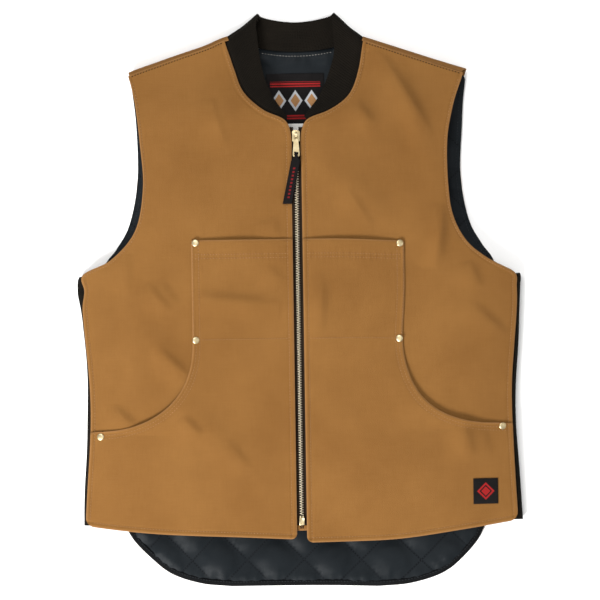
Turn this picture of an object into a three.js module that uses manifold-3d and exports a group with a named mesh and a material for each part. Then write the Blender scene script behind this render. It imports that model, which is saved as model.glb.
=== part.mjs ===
// A zip-front canvas work vest with a quilted lining, zipped up and lying flat on its back.
// Millimetres: +X to the right seen from above, +Y towards the collar, +Z up.
// The origin is on the surface that it lies on, under the middle of the vest.

import * as THREE from "three";
import { mergeVertices } from "three/addons/utils/BufferGeometryUtils.js";
import Module from "manifold-3d";

const { lerp, smoothstep, degToRad } = THREE.MathUtils;
const wasm = await Module();
wasm.setup();

// Cloth thicknesses, and the clearance between neighbouring pieces
const CANVAS = 1.6;
const RIB = 3;
const COLLAR = 4.5;
const QUILT_SEAM = 2.2;
const QUILT_PUFF = 4.2;
const DIAMOND = 75;
const GAP = 0.5;
const LINING_MARGIN = 20;

// How the vest lies: heights of the front's outer face, and the levels between which they change
const HEIGHT = { hem: 27, chest: 33.5, shoulder: 20.4, side: 18 };
const LEVEL = { hem: -317, pocketFloor: -185, chest: 228, shoulder: 325 };
const HALF_WIDTH = 285;
const FRONT_SHIFT = -2;

// Half of a front panel from hem to shoulder: its edge along the zip and neck, and its outer edge
const FRONT_SECTIONS = [
  { at: "hem", inX: 6.5, inY: -317, outX: 283.5, outY: -292 },
  { at: "patch", inX: 6.5, inY: -250, outX: 280.5, outY: -230 },
  { at: "pocket end", inX: 6.5, inY: -185, outX: 278, outY: -170 },
  { at: "waist", inX: 6.5, inY: -110, outX: 277, outY: -105 },
  { at: "ribs", inX: 6.5, inY: -25, outX: 282, outY: -30 },
  { at: "side top", inX: 6.5, inY: 22, outX: 285, outY: 16 },
  { at: "underarm", inX: 6.5, inY: 42, outX: 284.5, outY: 35 },
  { at: "armhole floor", inX: 6.5, inY: 75, outX: 245, outY: 56 },
  { at: "armhole bend", inX: 6.5, inY: 112, outX: 213, outY: 92 },
  { at: "armhole side", inX: 6.5, inY: 165, outX: 200.5, outY: 150 },
  { at: "zip top", inX: 7, inY: 220, outX: 201.5, outY: 208 },
  { at: "neck start", inX: 14, inY: 235, outX: 203.5, outY: 228 },
  { at: "neck low", inX: 42, inY: 249, outX: 206, outY: 244 },
  { at: "neck bend", inX: 69, inY: 274, outX: 209, outY: 260 },
  { at: "neck side", inX: 83, inY: 304, outX: 213, outY: 276 },
  { at: "shoulder", inX: 88, inY: 334, outX: 217, outY: 291 },
];
const HEM_BOW = 5.5;

// Half of the back from the drop tail up its side and armhole
const BACK_SECTIONS = [
  { at: "tail", half: 96, y: -375 },
  { at: "tail corner", half: 138, y: -370.5 },
  { at: "tail bend", half: 179, y: -357 },
  { at: "tail side", half: 203.5, y: -338 },
  { at: "tail top", half: 228, y: -310 },
  { at: "hem", half: 236, y: -287 },
  { at: "pocket end", half: 233.5, y: -170 },
  { at: "waist", half: 232.5, y: -105 },
  { at: "ribs", half: 237, y: -30 },
  { at: "underarm", half: 239, y: 60 },
  { at: "armhole bend", half: 222.5, y: 100 },
  { at: "armhole side", half: 212, y: 160 },
  { at: "armhole top", half: 215, y: 235 },
  { at: "shoulder", half: 219, y: 288.6 },
];
const TAIL_SECTIONS = 5;
const BACK_NECK = { y: 326, rise: 17 };

// Shoulder fold in plan, from the neck to the tip, and the angle at which its roll meets the front
const SHOULDER = { neckX: 90, neckY: 343, tipX: 220.7, tipY: 299, end: degToRad(70) };
const SHOULDER_ROLL = HEIGHT.shoulder / (1 + Math.sin(SHOULDER.end));

// Free edge of the collar from the zip to the fold beside the neck
const COLLAR_EDGE = [
  { at: "neck start", x: 11, y: 241, z: 26 },
  { at: "neck low", x: 27, y: 263, z: 21 },
  { at: "neck bend", x: 40, y: 292, z: 16.5 },
  { at: "neck side", x: 46.5, y: 327, z: 14 },
  { at: "shoulder", x: 49.5, y: 362, z: 12 },
];
const COLLAR_FOLD = { topX: 50.5, topY: 375 };
const COLLAR_BACK = [
  { seamX: 76, topX: 43, topY: 369.5 },
  { seamX: 40, topX: 23, topY: 365 },
  { seamX: 0, topX: 0, topY: 363 },
];

// Side panels: how far they stand out past the front, and the widths sewn under the front and to the back
const SIDE = { proud: 4.5, underFront: 18, underBack: 47, climb: 0.85 };

// Pocket fronts: the curved hand-pocket mouth and the straight chest-pocket top
const POCKET = { mouthX: 278, mouthY: -167, cornerX: 139, cornerY: -51, topY: 80, chestGape: 2.5 };
const MOUTH_FULLNESS = 0.8;
const HAND_GAPE = { left: 6, right: 7.5 };

// Soft folds: place, half length, half width, rise and direction, on the front canvas or a pocket front
const FOLDS = [
  { on: "canvas", x: 151, y: 251, reach: 62, width: 15, rise: 3.4, turn: -68 },
  { on: "canvas", x: 79, y: 140, reach: 48, width: 17, rise: 2.6, turn: -37 },
  { on: "canvas", x: 186, y: 84, reach: 36, width: 12, rise: 3, turn: -99 },
  { on: "canvas", x: 91, y: 237, reach: 20, width: 12, rise: 1.8, turn: -70 },
  { on: "canvas", x: -92, y: 236, reach: 34, width: 15, rise: 2.4, turn: -90 },
  { on: "canvas", x: -216, y: -50, reach: 50, width: 17, rise: 2.4, turn: -88 },
  { on: "canvas", x: -178, y: -62, reach: 34, width: 16, rise: 2.6, turn: -48 },
  { on: "pocket", x: -120, y: -172, reach: 46, width: 18, rise: 2.6, turn: -45 },
  { on: "pocket", x: 214, y: -178, reach: 34, width: 14, rise: 2.6, turn: -88 },
  { on: "pocket", x: -75, y: 0, reach: 48, width: 14, rise: 1.6, turn: 0 },
  { on: "pocket", x: 27, y: 0, reach: 28, width: 12, rise: 1.8, turn: -85 },
];

// Zip: half the opening between the fronts, the tapes, the closed chain, its ends
const ZIP = { opening: 6.5, tapeHalf: 15, tape: 1, chainHalf: 3.75, chain: 2.6 };
const ZIP_ENDS = { tapeLow: -299, boxLow: -297, boxHigh: -282, chainHigh: 208, part: 206, tapeHigh: 226 };
const SLIDER = { y: 215, half: 7.5, plate: 1.6, wide: 5.5, narrow: 4.3 };
const BRIDGE = { y: 1, half: 4.2, height: 4.9, wall: 1.2, width: 3 };
const PULL = { pivot: 2.3, length: 32, top: 3.8, low: 4.6, thick: 1.6, tilt: degToRad(3) };
const TAB = { start: 33.8, end: 95, half: 6, thick: 1.6, lean: degToRad(12), rise: 1.2 };

// Small pieces
const RIVET = { radius: 4.7, height: 1.8 };
const RIVETS = [
  { at: "chest_top", x: 133.5, y: 74.5 },
  { at: "chest_foot", x: 134, y: -51.5 },
  { at: "pocket_end", x: 264.5, y: -172.5 },
];
const PATCH = { x: 241, y: -253.5, width: 32.5, height: 33.5, thick: 1.2 };
const NECK_LABEL = { x: -2, y: 266, width: 76, height: 64, thick: 1 };
const SIZE_TAG = { x: -2, y: 214, width: 30, height: 36, thick: 1 };
const BINDING = { width: 7, height: 3.2 };

const CLOTH = { color: 0xa2713c, roughness: 0.9 };
const KNIT = { color: 0x2b231c, roughness: 0.95 };
const LINING = { color: 0x2b2f35, roughness: 0.6 };
const BLACK = { color: 0x1d1a1a, roughness: 0.8 };
const TAPE = { color: 0x3b2a1f, roughness: 0.9 };
const BRASS = { color: 0xc9a65c, roughness: 0.35, metalness: 1 };
const WHITE = { color: 0xe9e6df, roughness: 0.9 };

const vest = new THREE.Group();
vest.name = "quilted_vest";
const front = new THREE.Group();
front.position.x = FRONT_SHIFT;
vest.add(front);

function addPiece(parent, name, geometry, look) {
  const mesh = new THREE.Mesh(geometry, new THREE.MeshStandardMaterial({ ...look, flatShading: true }));
  mesh.name = name;
  parent.add(mesh);
  return mesh;
}

// Solids

// A closed solid between two matching grids of points; a true from otherCut turns that cell's diagonal.
function sheetSolid(upper, lower, otherCut = () => false) {
  const columns = upper[0].length;
  const lastRow = upper.length - 1;
  const lastColumn = columns - 1;
  const top = (r, c) => r * columns + c;
  const under = (r, c) => top(r, c) + upper.length * columns;
  const faces = [];
  const quad = (a, b, c, d) => faces.push(a, b, c, a, c, d);
  for (let r = 0; r < lastRow; r++) {
    for (let c = 0; c < lastColumn; c++) {
      const above = [top(r, c), top(r, c + 1), top(r + 1, c + 1), top(r + 1, c)];
      const below = [under(r, c), under(r + 1, c), under(r + 1, c + 1), under(r, c + 1)];
      if (otherCut(r, c)) {
        above.push(above.shift());
        below.push(below.shift());
      }
      quad(...above);
      quad(...below);
    }
    quad(top(r, 0), top(r + 1, 0), under(r + 1, 0), under(r, 0));
    quad(top(r + 1, lastColumn), top(r, lastColumn), under(r, lastColumn), under(r + 1, lastColumn));
  }
  for (let c = 0; c < lastColumn; c++) {
    quad(top(0, c + 1), top(0, c), under(0, c), under(0, c + 1));
    quad(top(lastRow, c), top(lastRow, c + 1), under(lastRow, c + 1), under(lastRow, c));
  }
  const geometry = new THREE.BufferGeometry().setFromPoints([...upper.flat(), ...lower.flat()]);
  geometry.setIndex(faces);
  return facingOut(geometry);
}

// A piece made for one side comes out inside out on the other, so its faces are turned by its volume.
function facingOut(geometry) {
  const place = geometry.getAttribute("position");
  const order = geometry.index.array;
  const corner = (i) => new THREE.Vector3().fromBufferAttribute(place, order[i]);
  let volume = 0;
  for (let i = 0; i < order.length; i += 3) {
    volume += corner(i).dot(corner(i + 1).cross(corner(i + 2)));
  }
  if (volume < 0) {
    order.reverse();
  }
  return geometry;
}

function toManifold(geometry) {
  const bare = new THREE.BufferGeometry();
  bare.setAttribute("position", geometry.getAttribute("position"));
  bare.setIndex(geometry.index);
  const merged = mergeVertices(bare, 1e-4);
  const vertProperties = new Float32Array(merged.getAttribute("position").array);
  const triVerts = new Uint32Array(merged.index.array);
  return new wasm.Manifold(new wasm.Mesh({ numProp: 3, vertProperties, triVerts }));
}

function toGeometry(solid) {
  const mesh = solid.getMesh();
  const geometry = new THREE.BufferGeometry();
  geometry.setAttribute("position", new THREE.BufferAttribute(mesh.vertProperties, 3));
  geometry.setIndex(new THREE.BufferAttribute(mesh.triVerts, 1));
  return geometry;
}

function joined(...geometries) {
  return toGeometry(geometries.map(toManifold).reduce((whole, next) => whole.add(next)));
}

// A plate with its lower face at the given height
function plate(shape, thick, z) {
  const geometry = new THREE.ExtrudeGeometry(shape, { depth: thick, bevelEnabled: false });
  return geometry.translate(0, 0, z);
}

// The same with its edges broken
function softPlate(shape, thick, z, edge = 0.3) {
  const bevel = { bevelThickness: edge, bevelSize: edge, bevelOffset: -edge, bevelSegments: 1 };
  const geometry = new THREE.ExtrudeGeometry(shape, { depth: thick - 2 * edge, curveSegments: 4, ...bevel });
  return geometry.translate(0, 0, z + edge);
}

function rectangle(left, low, right, high) {
  const corners = [[left, low], [right, low], [right, high], [left, high]];
  return new THREE.Shape(corners.map(([x, y]) => new THREE.Vector2(x, y)));
}

function spread(count, make) {
  return Array.from({ length: count + 1 }, (_, i) => make(i / count));
}

// The lie of the front

function frontHeight(x, y) {
  const rising = lerp(HEIGHT.hem, HEIGHT.chest, smoothstep(y, LEVEL.hem, LEVEL.pocketFloor));
  const crown = lerp(rising, HEIGHT.shoulder, smoothstep(y, LEVEL.chest, LEVEL.shoulder));
  return HEIGHT.side + (crown - HEIGHT.side) * (1 - Math.abs(x / HALF_WIDTH) ** 3);
}

function foldRise(layer, x, y) {
  let rise = 0;
  for (const fold of FOLDS.filter((each) => each.on === layer)) {
    const turn = degToRad(fold.turn);
    const along = (x - fold.x) * Math.cos(turn) + (y - fold.y) * Math.sin(turn);
    const across = (y - fold.y) * Math.cos(turn) - (x - fold.x) * Math.sin(turn);
    rise += fold.rise * Math.exp(-((along / fold.reach) ** 2) - (across / fold.width) ** 2);
  }
  return rise;
}

function pocketHeight(x, y) {
  return frontHeight(x, y) + GAP + CANVAS;
}

// Edges drawn through the sections; a whole step of the parameter is one section
function edgeThrough(points) {
  const curve = new THREE.CatmullRomCurve3(points);
  return (section) => curve.getPoint(section / (points.length - 1));
}

const frontInner = edgeThrough(FRONT_SECTIONS.map((row) => new THREE.Vector3(row.inX, row.inY, 0)));
const frontOuter = edgeThrough(FRONT_SECTIONS.map((row) => new THREE.Vector3(row.outX, row.outY, 0)));
const backSide = edgeThrough(BACK_SECTIONS.map((row) => new THREE.Vector3(row.half, row.y, 0)));
const sectionOf = (name) => FRONT_SECTIONS.findIndex((row) => row.at === name);

// Rows of points ruled from the inner to the outer edge, at the height that lift gives
function ruledGrid(rows, columns, side, lift) {
  return rows.map((row) =>
    spread(columns, (u) => {
      const x = side * lerp(row.inner.x, row.outer.x, u);
      const y = lerp(row.inner.y, row.outer.y, u) - 4 * u * (1 - u) * row.bow;
      return new THREE.Vector3(x, y, lift(x, y, u, row));
    }),
  );
}

function shell(grid, thick) {
  const lower = grid.map((row) => row.map((point) => point.clone().setZ(point.z - thick)));
  return sheetSolid(grid, lower);
}

function frontRows() {
  const last = FRONT_SECTIONS.length - 1;
  return spread(last * 2, (t) => {
    const bow = HEM_BOW * Math.max(0, 1 - t * last);
    return { inner: frontInner(t * last), outer: frontOuter(t * last), bow };
  });
}

function pocketRows() {
  const place = (inY, outX, outY, gape, lip) => ({
    inner: new THREE.Vector2(ZIP.opening, inY),
    outer: new THREE.Vector2(outX, outY),
    bow: inY === FRONT_SECTIONS[0].inY ? HEM_BOW : 0,
    gape,
    lip,
  });
  const hem = FRONT_SECTIONS[0];
  const mouth = spread(8, (t) => {
    const angle = (t * Math.PI) / 2;
    const outX = lerp(POCKET.mouthX, POCKET.cornerX, Math.sin(angle) ** MOUTH_FULLNESS);
    const outY = lerp(POCKET.cornerY, POCKET.mouthY, Math.cos(angle) ** MOUTH_FULLNESS);
    return place(lerp(LEVEL.pocketFloor, POCKET.cornerY, t), outX, outY, Math.sin(2 * angle) ** 2, 0);
  });
  return [
    place(hem.inY, hem.outX, hem.outY, 0, 0),
    place(-250, 280.5, -230, 0, 0),
    place(-217, 279, -200, 0, 0),
    ...mouth,
    place(-10, POCKET.cornerX, -10, 0, 0),
    place(32, POCKET.cornerX, 32, 0, 0.2),
    place(62, POCKET.cornerX, 62, 0, 0.6),
    place(POCKET.topY, POCKET.cornerX, POCKET.topY, 0, 1),
  ];
}

// Quilting: a slab whose diamonds are thick in the middle and thin on the stitch lines
function quiltSlab(left, low, right, high, base, towards) {
  const half = DIAMOND / 2;
  const columns = Math.ceil((right - left) / half);
  const rows = Math.ceil((high - low) / half);
  const middle = (r, c) => (r + c) % 2 === 1;
  const grid = (heightAt) =>
    Array.from({ length: rows + 1 }, (_, r) =>
      Array.from({ length: columns + 1 }, (_, c) => {
        const x = left + c * half;
        const y = low + r * half;
        return new THREE.Vector3(x, y, heightAt(x, y, r, c));
      }),
    );
  const thick = (r, c) => towards * (middle(r, c) ? QUILT_PUFF : QUILT_SEAM);
  const puffed = grid((x, y, r, c) => base(x, y) + thick(r, c));
  const plain = grid((x, y) => base(x, y));
  return towards > 0 ? sheetSolid(puffed, plain, middle) : sheetSolid(plain, puffed, middle);
}

// A loop of points drawn in by a margin, as a shape
function drawnIn(loop, margin) {
  const points = loop.map((point, i) => {
    const before = loop.at(i - 1);
    const after = loop[(i + 1) % loop.length];
    const along = new THREE.Vector2(after.x - before.x, after.y - before.y).normalize();
    return new THREE.Vector2(point.x - along.y * margin, point.y + along.x * margin);
  });
  return new THREE.Shape(points);
}

function cutOut(slab, shape) {
  return toManifold(slab).intersect(toManifold(plate(shape, 80, -20)));
}

// Fronts, with their linings and pocket fronts

function frontLining(side) {
  const rows = frontRows().slice(0, -1);
  const moved = (point, inward, i) => {
    const raised = i === 0 ? LINING_MARGIN / 2 : 0;
    return new THREE.Vector2(side * (point.x + inward), point.y + raised);
  };
  const outer = rows.map((row, i) => moved(row.outer, -LINING_MARGIN, i));
  const inner = rows.map((row, i) => moved(row.inner, LINING_MARGIN, i));
  const shape = new THREE.Shape([...outer, ...inner.reverse()]);
  const base = (x, y) => frontHeight(x, y) - CANVAS - 3 * GAP;
  const [left, right] = side > 0 ? [0, 300] : [-300, 0];
  return toGeometry(cutOut(quiltSlab(left, -337.5, right, 337.5, base, -1), shape));
}

function frontCanvas(side) {
  const lift = (x, y) => frontHeight(x, y) + foldRise("canvas", x, y);
  return shell(ruledGrid(frontRows(), 12, side, lift), CANVAS);
}

function pocketFront(side, gape) {
  const lift = (x, y, u, row) => {
    const mouth = gape * row.gape * smoothstep(u, 0.45, 1);
    const lip = POCKET.chestGape * row.lip * Math.sin(Math.PI * u);
    return pocketHeight(x, y) + mouth + lip + foldRise("pocket", x, y);
  };
  return shell(ruledGrid(pocketRows(), 10, side, lift), CANVAS);
}

for (const [name, side] of [["left", -1], ["right", 1]]) {
  addPiece(front, `front_canvas_${name}`, frontCanvas(side), CLOTH);
  addPiece(front, `front_lining_${name}`, frontLining(side), LINING);
  addPiece(front, `pocket_front_${name}`, pocketFront(side, HAND_GAPE[name]), CLOTH);
}

// Back, rolled over the shoulders, with its lining and the binding of the tail

const shoulderRun = new THREE.Vector2(SHOULDER.tipX - SHOULDER.neckX, SHOULDER.tipY - SHOULDER.neckY);
const shoulderOut = new THREE.Vector2(-shoulderRun.y, shoulderRun.x).normalize();

function backTop(x) {
  const neck = BACK_NECK.y + BACK_NECK.rise * (x / SHOULDER.neckX) ** 2;
  const fold = SHOULDER.neckY + ((Math.abs(x) - SHOULDER.neckX) * shoulderRun.y) / shoulderRun.x;
  return Math.min(neck, fold - SHOULDER_ROLL / shoulderOut.y);
}

function backOutline(margin) {
  const last = BACK_SECTIONS.length - 1;
  const right = spread(last * 3, (t) => backSide(t * last));
  const half = BACK_SECTIONS[last].half;
  const top = spread(24, (t) => new THREE.Vector3(lerp(half, -half, t), backTop(lerp(half, -half, t)), 0));
  const left = right.map((point) => new THREE.Vector3(-point.x, point.y, 0)).reverse();
  return drawnIn([...right, ...top.slice(1, -1), ...left], margin);
}

function shoulderFold(side) {
  const from = new THREE.Vector2(SHOULDER.neckX + 4, SHOULDER.neckY - 1.4);
  const to = new THREE.Vector2(SHOULDER.tipX - 1, SHOULDER.tipY + 0.3);
  const surface = (radius) =>
    spread(4, (t) => {
      const fold = from.clone().lerp(to, t).addScaledVector(shoulderOut, -SHOULDER_ROLL);
      const roll = spread(9, (a) => lerp(-Math.PI / 2, SHOULDER.end, a));
      const tongue = fold.clone().addScaledVector(shoulderOut, -4);
      const low = SHOULDER_ROLL - radius;
      return [
        new THREE.Vector3(side * tongue.x, tongue.y, low),
        ...roll.map((angle) => {
          const place = fold.clone().addScaledVector(shoulderOut, radius * Math.cos(angle));
          return new THREE.Vector3(side * place.x, place.y, SHOULDER_ROLL + radius * Math.sin(angle));
        }),
      ];
    });
  return sheetSolid(surface(SHOULDER_ROLL), surface(SHOULDER_ROLL - CANVAS));
}

function tailStrip(width, low, high, past = 0) {
  const half = spread(TAIL_SECTIONS * 3, (t) => backSide(TAIL_SECTIONS * (1 - t)));
  const edge = [...half, ...half.map((point) => new THREE.Vector3(-point.x, point.y, 0)).reverse()];
  const band = (z) =>
    edge.map((point, i) => {
      const before = edge[Math.max(i - 1, 0)];
      const after = edge[Math.min(i + 1, edge.length - 1)];
      const inward = new THREE.Vector3(after.y - before.y, before.x - after.x, 0).normalize();
      return [-past, width].map((reach) => point.clone().addScaledVector(inward, reach).setZ(z));
    });
  return sheetSolid(band(high), band(low));
}

const liningLow = CANVAS + GAP;
const backSlab = quiltSlab(-262.5, -378.75, 262.5, 371.25, () => liningLow, 1);
const backLining = cutOut(backSlab, backOutline(1.5));
const boundStrip = toManifold(tailStrip(BINDING.width + GAP, 0, 20, 6));
const backCanvas = plate(backOutline(0), CANVAS, 0);

addPiece(vest, "back_canvas", joined(backCanvas, shoulderFold(-1), shoulderFold(1)), CLOTH);
addPiece(vest, "back_lining", toGeometry(backLining.subtract(boundStrip)), LINING);
addPiece(vest, "tail_binding", tailStrip(BINDING.width, liningLow, liningLow + BINDING.height), BLACK);

// Rib-knit side panels, wrapped from under the front's edge round to the back

function sideRib(side) {
  const height = HEIGHT.side - CANVAS - GAP;
  const round = height / 2;
  const underarm = sectionOf("underarm");
  const surface = (inset) =>
    spread(10, (t) => {
      const edge = frontOuter(t * underarm);
      const outside = edge.x + SIDE.proud;
      const climbing = SIDE.climb * smoothstep(t, 0.75, 1);
      const place = (inward, z) => {
        const climb = z < round ? climbing * Math.max(inward - round, 0) : 0;
        return new THREE.Vector3(side * (outside - inward), edge.y + climb, z);
      };
      const bend = spread(6, (a) => lerp(Math.PI / 2, -Math.PI / 2, a));
      return [
        place(SIDE.underFront, height - inset),
        ...bend.map((a) => place(round - (round - inset) * Math.cos(a), round + (round - inset) * Math.sin(a))),
        place(SIDE.underBack, inset),
      ];
    });
  return sheetSolid(surface(0), surface(RIB));
}

addPiece(vest, "side_rib_left", sideRib(-1), KNIT);
addPiece(vest, "side_rib_right", sideRib(1), KNIT);

// Collar: a band round the neck that lies outer side up in front and inner side up behind

function collarStations() {
  const up = new THREE.Vector3(0, 0, 1);
  const edge = edgeThrough(COLLAR_EDGE.map((row) => new THREE.Vector3(row.x, row.y, row.z)));
  const first = sectionOf("neck start");
  const frontPart = spread(8, (t) => {
    const seam = frontInner(first + t * (COLLAR_EDGE.length - 1));
    const top = edge(t * (COLLAR_EDGE.length - 1));
    seam.z = frontHeight(seam.x, seam.y) - COLLAR / 2;
    seam.addScaledVector(top.clone().sub(seam).setZ(0).normalize(), 2 * GAP);
    seam.x += FRONT_SHIFT;
    top.x += FRONT_SHIFT;
    return { seam, top, out: up };
  });
  const backPart = COLLAR_BACK.map((row) => {
    const seamY = BACK_NECK.y + BACK_NECK.rise * (row.seamX / SHOULDER.neckX) ** 2 + 2 * GAP;
    const seam = new THREE.Vector3(row.seamX, seamY, COLLAR / 2);
    const top = new THREE.Vector3(row.topX, row.topY, COLLAR / 2);
    return { seam, top, out: up.clone().negate() };
  });
  const along = new THREE.Vector3(COLLAR_FOLD.topX - SHOULDER.neckX, COLLAR_FOLD.topY - SHOULDER.neckY, 0);
  const away = new THREE.Vector3(along.y, -along.x, 0).normalize();
  const lastFront = frontPart.at(-1);
  const foldPart = [60, 30, 0, -30, -60].map((degrees) => {
    const angle = degToRad(degrees);
    const out = away.clone().multiplyScalar(Math.cos(angle)).addScaledVector(up, Math.sin(angle));
    const rolled = (x, y, high) => {
      const radius = (high - COLLAR / 2) / 2;
      const inward = COLLAR / 2 + radius * (1 - Math.cos(angle));
      const place = new THREE.Vector3(x, y, COLLAR / 2 + radius * (1 + Math.sin(angle)));
      return place.addScaledVector(away, -inward);
    };
    const seam = rolled(SHOULDER.neckX, SHOULDER.neckY, lastFront.seam.z);
    seam.addScaledVector(along, (2 * GAP) / along.length());
    return { seam, top: rolled(COLLAR_FOLD.topX, COLLAR_FOLD.topY, lastFront.top.z), out };
  });
  return [...frontPart, ...foldPart, ...backPart];
}

function collarBand() {
  const half = collarStations();
  const flip = (point) => new THREE.Vector3(-point.x, point.y, point.z);
  const flipped = half.slice(0, -1).reverse().map(({ seam, top, out }) => {
    const shift = new THREE.Vector3(out.z > 0.99 ? 2 * FRONT_SHIFT : 0, 0, 0);
    return { seam: flip(seam).add(shift), top: flip(top).add(shift), out: flip(out) };
  });
  const surface = (offset) =>
    [...half, ...flipped].map(({ seam, top, out }) =>
      spread(3, (t) => seam.clone().lerp(top, t).addScaledVector(out, offset)),
    );
  return sheetSolid(surface(COLLAR / 2), surface(-COLLAR / 2));
}

addPiece(vest, "collar", collarBand(), KNIT);

// Zip, closed up to the slider

function zipStrip(low, high, steps, edges, z, thick) {
  const surface = (offset) =>
    spread(steps, (t) => {
      const y = lerp(low, high, t);
      return edges(y).map((x) => new THREE.Vector3(x, y, frontHeight(0, y) + z + offset));
    });
  return sheetSolid(surface(thick), surface(0));
}

const tapeTop = -CANVAS - GAP;
const chainLow = tapeTop + GAP;
const parting = (y) => 0.4 + 3 * smoothstep(y, ZIP_ENDS.part, SLIDER.y + 2);
for (const [name, side] of [["left", -1], ["right", 1]]) {
  const edges = (y) => [side * parting(y), side * ZIP.tapeHalf];
  const tape = zipStrip(ZIP_ENDS.tapeLow, ZIP_ENDS.tapeHigh, 20, edges, tapeTop - ZIP.tape, ZIP.tape);
  addPiece(front, `zip_tape_${name}`, tape, TAPE);
}
const chainLowEnd = ZIP_ENDS.boxHigh + GAP;
const chainEdges = () => [-ZIP.chainHalf, ZIP.chainHalf];
addPiece(front, "zip_chain", zipStrip(chainLowEnd, ZIP_ENDS.chainHigh, 16, chainEdges, chainLow, ZIP.chain), BRASS);

const boxEdges = () => [-4, 4];
addPiece(front, "zip_box", zipStrip(ZIP_ENDS.boxLow, ZIP_ENDS.boxHigh, 1, boxEdges, chainLow, 3.6), BRASS);
const facingLow = ZIP_ENDS.tapeLow - GAP;
const facing = zipStrip(facingLow - 7, facingLow, 1, () => [-10, 10], tapeTop - CANVAS, CANVAS);
addPiece(front, "zip_end_facing", facing, CLOTH);

// Slider: two plates on a post between the tapes, and a bridge that holds the pull
const sliderBase = frontHeight(0, SLIDER.y);
const plateLow = chainLow + ZIP.chain + GAP;
const plateTop = plateLow + SLIDER.plate;

function sliderGeometry() {
  const { half, wide, narrow } = SLIDER;
  const outline = new THREE.Shape();
  outline.moveTo(-narrow, -half);
  outline.lineTo(narrow, -half);
  outline.lineTo(wide, half - 5);
  outline.quadraticCurveTo(wide, half, 2, half);
  outline.lineTo(-2, half);
  outline.quadraticCurveTo(-wide, half, -wide, half - 5);
  outline.closePath();
  const lowPlateTop = tapeTop - ZIP.tape - GAP;
  const post = plate(rectangle(-1.4, half - 4, 1.4, half - 0.5), plateTop - lowPlateTop, lowPlateTop - 0.5);
  const arch = rectangle(-BRIDGE.half, -0.5, BRIDGE.half, BRIDGE.height);
  const eye = BRIDGE.half - BRIDGE.wall;
  arch.holes.push(rectangle(-eye, 0.4, eye, BRIDGE.height - BRIDGE.wall));
  const bridge = plate(arch, BRIDGE.width, -BRIDGE.width / 2);
  bridge.rotateX(Math.PI / 2).rotateZ(Math.PI / 2).translate(0, BRIDGE.y, plateTop);
  const upper = softPlate(outline, SLIDER.plate, plateLow);
  const lower = softPlate(outline, SLIDER.plate, lowPlateTop - SLIDER.plate);
  return joined(upper, lower, post, bridge);
}

const slider = addPiece(front, "zip_slider", sliderGeometry(), BRASS);
slider.position.set(0, SLIDER.y, sliderBase);

// Pull: a plate with a window round the bridge and an eye for the tab, hanging down the chain
function pullGeometry() {
  const { length, top, low, thick } = PULL;
  const bar = thick / 2;
  const outline = new THREE.Shape();
  outline.moveTo(-top, bar);
  outline.lineTo(-low, 3 - length);
  outline.quadraticCurveTo(-low, -length, 3 - low, -length);
  outline.lineTo(low - 3, -length);
  outline.quadraticCurveTo(low, -length, low, 3 - length);
  outline.lineTo(top, bar);
  outline.closePath();
  outline.holes.push(rectangle(-2.3, -BRIDGE.half - 1.1, 2.3, -bar));
  outline.holes.push(rectangle(-2.7, 2.6 - length, 2.7, 6.2 - length));
  return softPlate(outline, thick, -thick / 2);
}

// Tab: a strip folded round the foot of the pull and stitched down
function tabGeometry() {
  const loop = rectangle(-TAB.start - 0.6, -2, -27.2, 2);
  loop.holes.push(rectangle(-33.2, -1.2, -28.2, 1.2));
  const eye = plate(loop, 4.2, -2.1).rotateX(Math.PI / 2).rotateZ(Math.PI / 2);
  const surface = (offset) =>
    spread(3, (t) => {
      const reach = lerp(TAB.start, TAB.end, t);
      const middle = -(reach - TAB.start) * Math.tan(TAB.lean);
      return [-1, 1].map((s) => new THREE.Vector3(middle + s * TAB.half, -reach, TAB.rise * t + offset));
    });
  return joined(eye, sheetSolid(surface(TAB.thick / 2), surface(-TAB.thick / 2)));
}

const pivot = new THREE.Group();
pivot.position.set(0, SLIDER.y + BRIDGE.y, sliderBase + plateTop + PULL.pivot);
pivot.rotation.x = PULL.tilt;
front.add(pivot);
addPiece(pivot, "zip_pull", pullGeometry(), BRASS);
addPiece(pivot, "pull_tab", tabGeometry(), BLACK);

// Rivets at the pocket corners, square to the cloth under them
function rivetGeometry() {
  const { radius, height } = RIVET;
  const dome = [[0, 0], [radius, 0], [radius, 0.5], [radius * 0.7, height * 0.85], [0, height]];
  const profile = dome.map(([r, z]) => new THREE.Vector2(r, z));
  return new THREE.LatheGeometry(profile, 10).rotateX(Math.PI / 2);
}

function standOn(mesh, x, y) {
  const slopeX = pocketHeight(x + 1, y) - pocketHeight(x - 1, y);
  const slopeY = pocketHeight(x, y + 1) - pocketHeight(x, y - 1);
  const normal = new THREE.Vector3(-slopeX / 2, -slopeY / 2, 1).normalize();
  mesh.quaternion.setFromUnitVectors(new THREE.Vector3(0, 0, 1), normal);
  mesh.position.set(x, y, pocketHeight(x, y) + GAP);
}

for (const rivet of RIVETS) {
  for (const [name, side] of [["left", -1], ["right", 1]]) {
    const mesh = addPiece(front, `rivet_${rivet.at}_${name}`, rivetGeometry(), BRASS);
    standOn(mesh, side * rivet.x, rivet.y);
  }
}

// Patch low on the right front
const patchGrid = spread(2, (v) =>
  spread(2, (u) => {
    const x = PATCH.x + (u - 0.5) * PATCH.width;
    const y = PATCH.y + (v - 0.5) * PATCH.height;
    return new THREE.Vector3(x, y, pocketHeight(x, y) + GAP + PATCH.thick);
  }),
);
addPiece(front, "front_patch", shell(patchGrid, PATCH.thick), BLACK);

// Label and tag on the lining inside the neck
function flatPiece(name, size, look) {
  const { x, y, width, height, thick } = size;
  const shape = rectangle(x - width / 2, y - height / 2, x + width / 2, y + height / 2);
  addPiece(vest, name, plate(shape, thick, liningLow + QUILT_PUFF + GAP), look);
}

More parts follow.
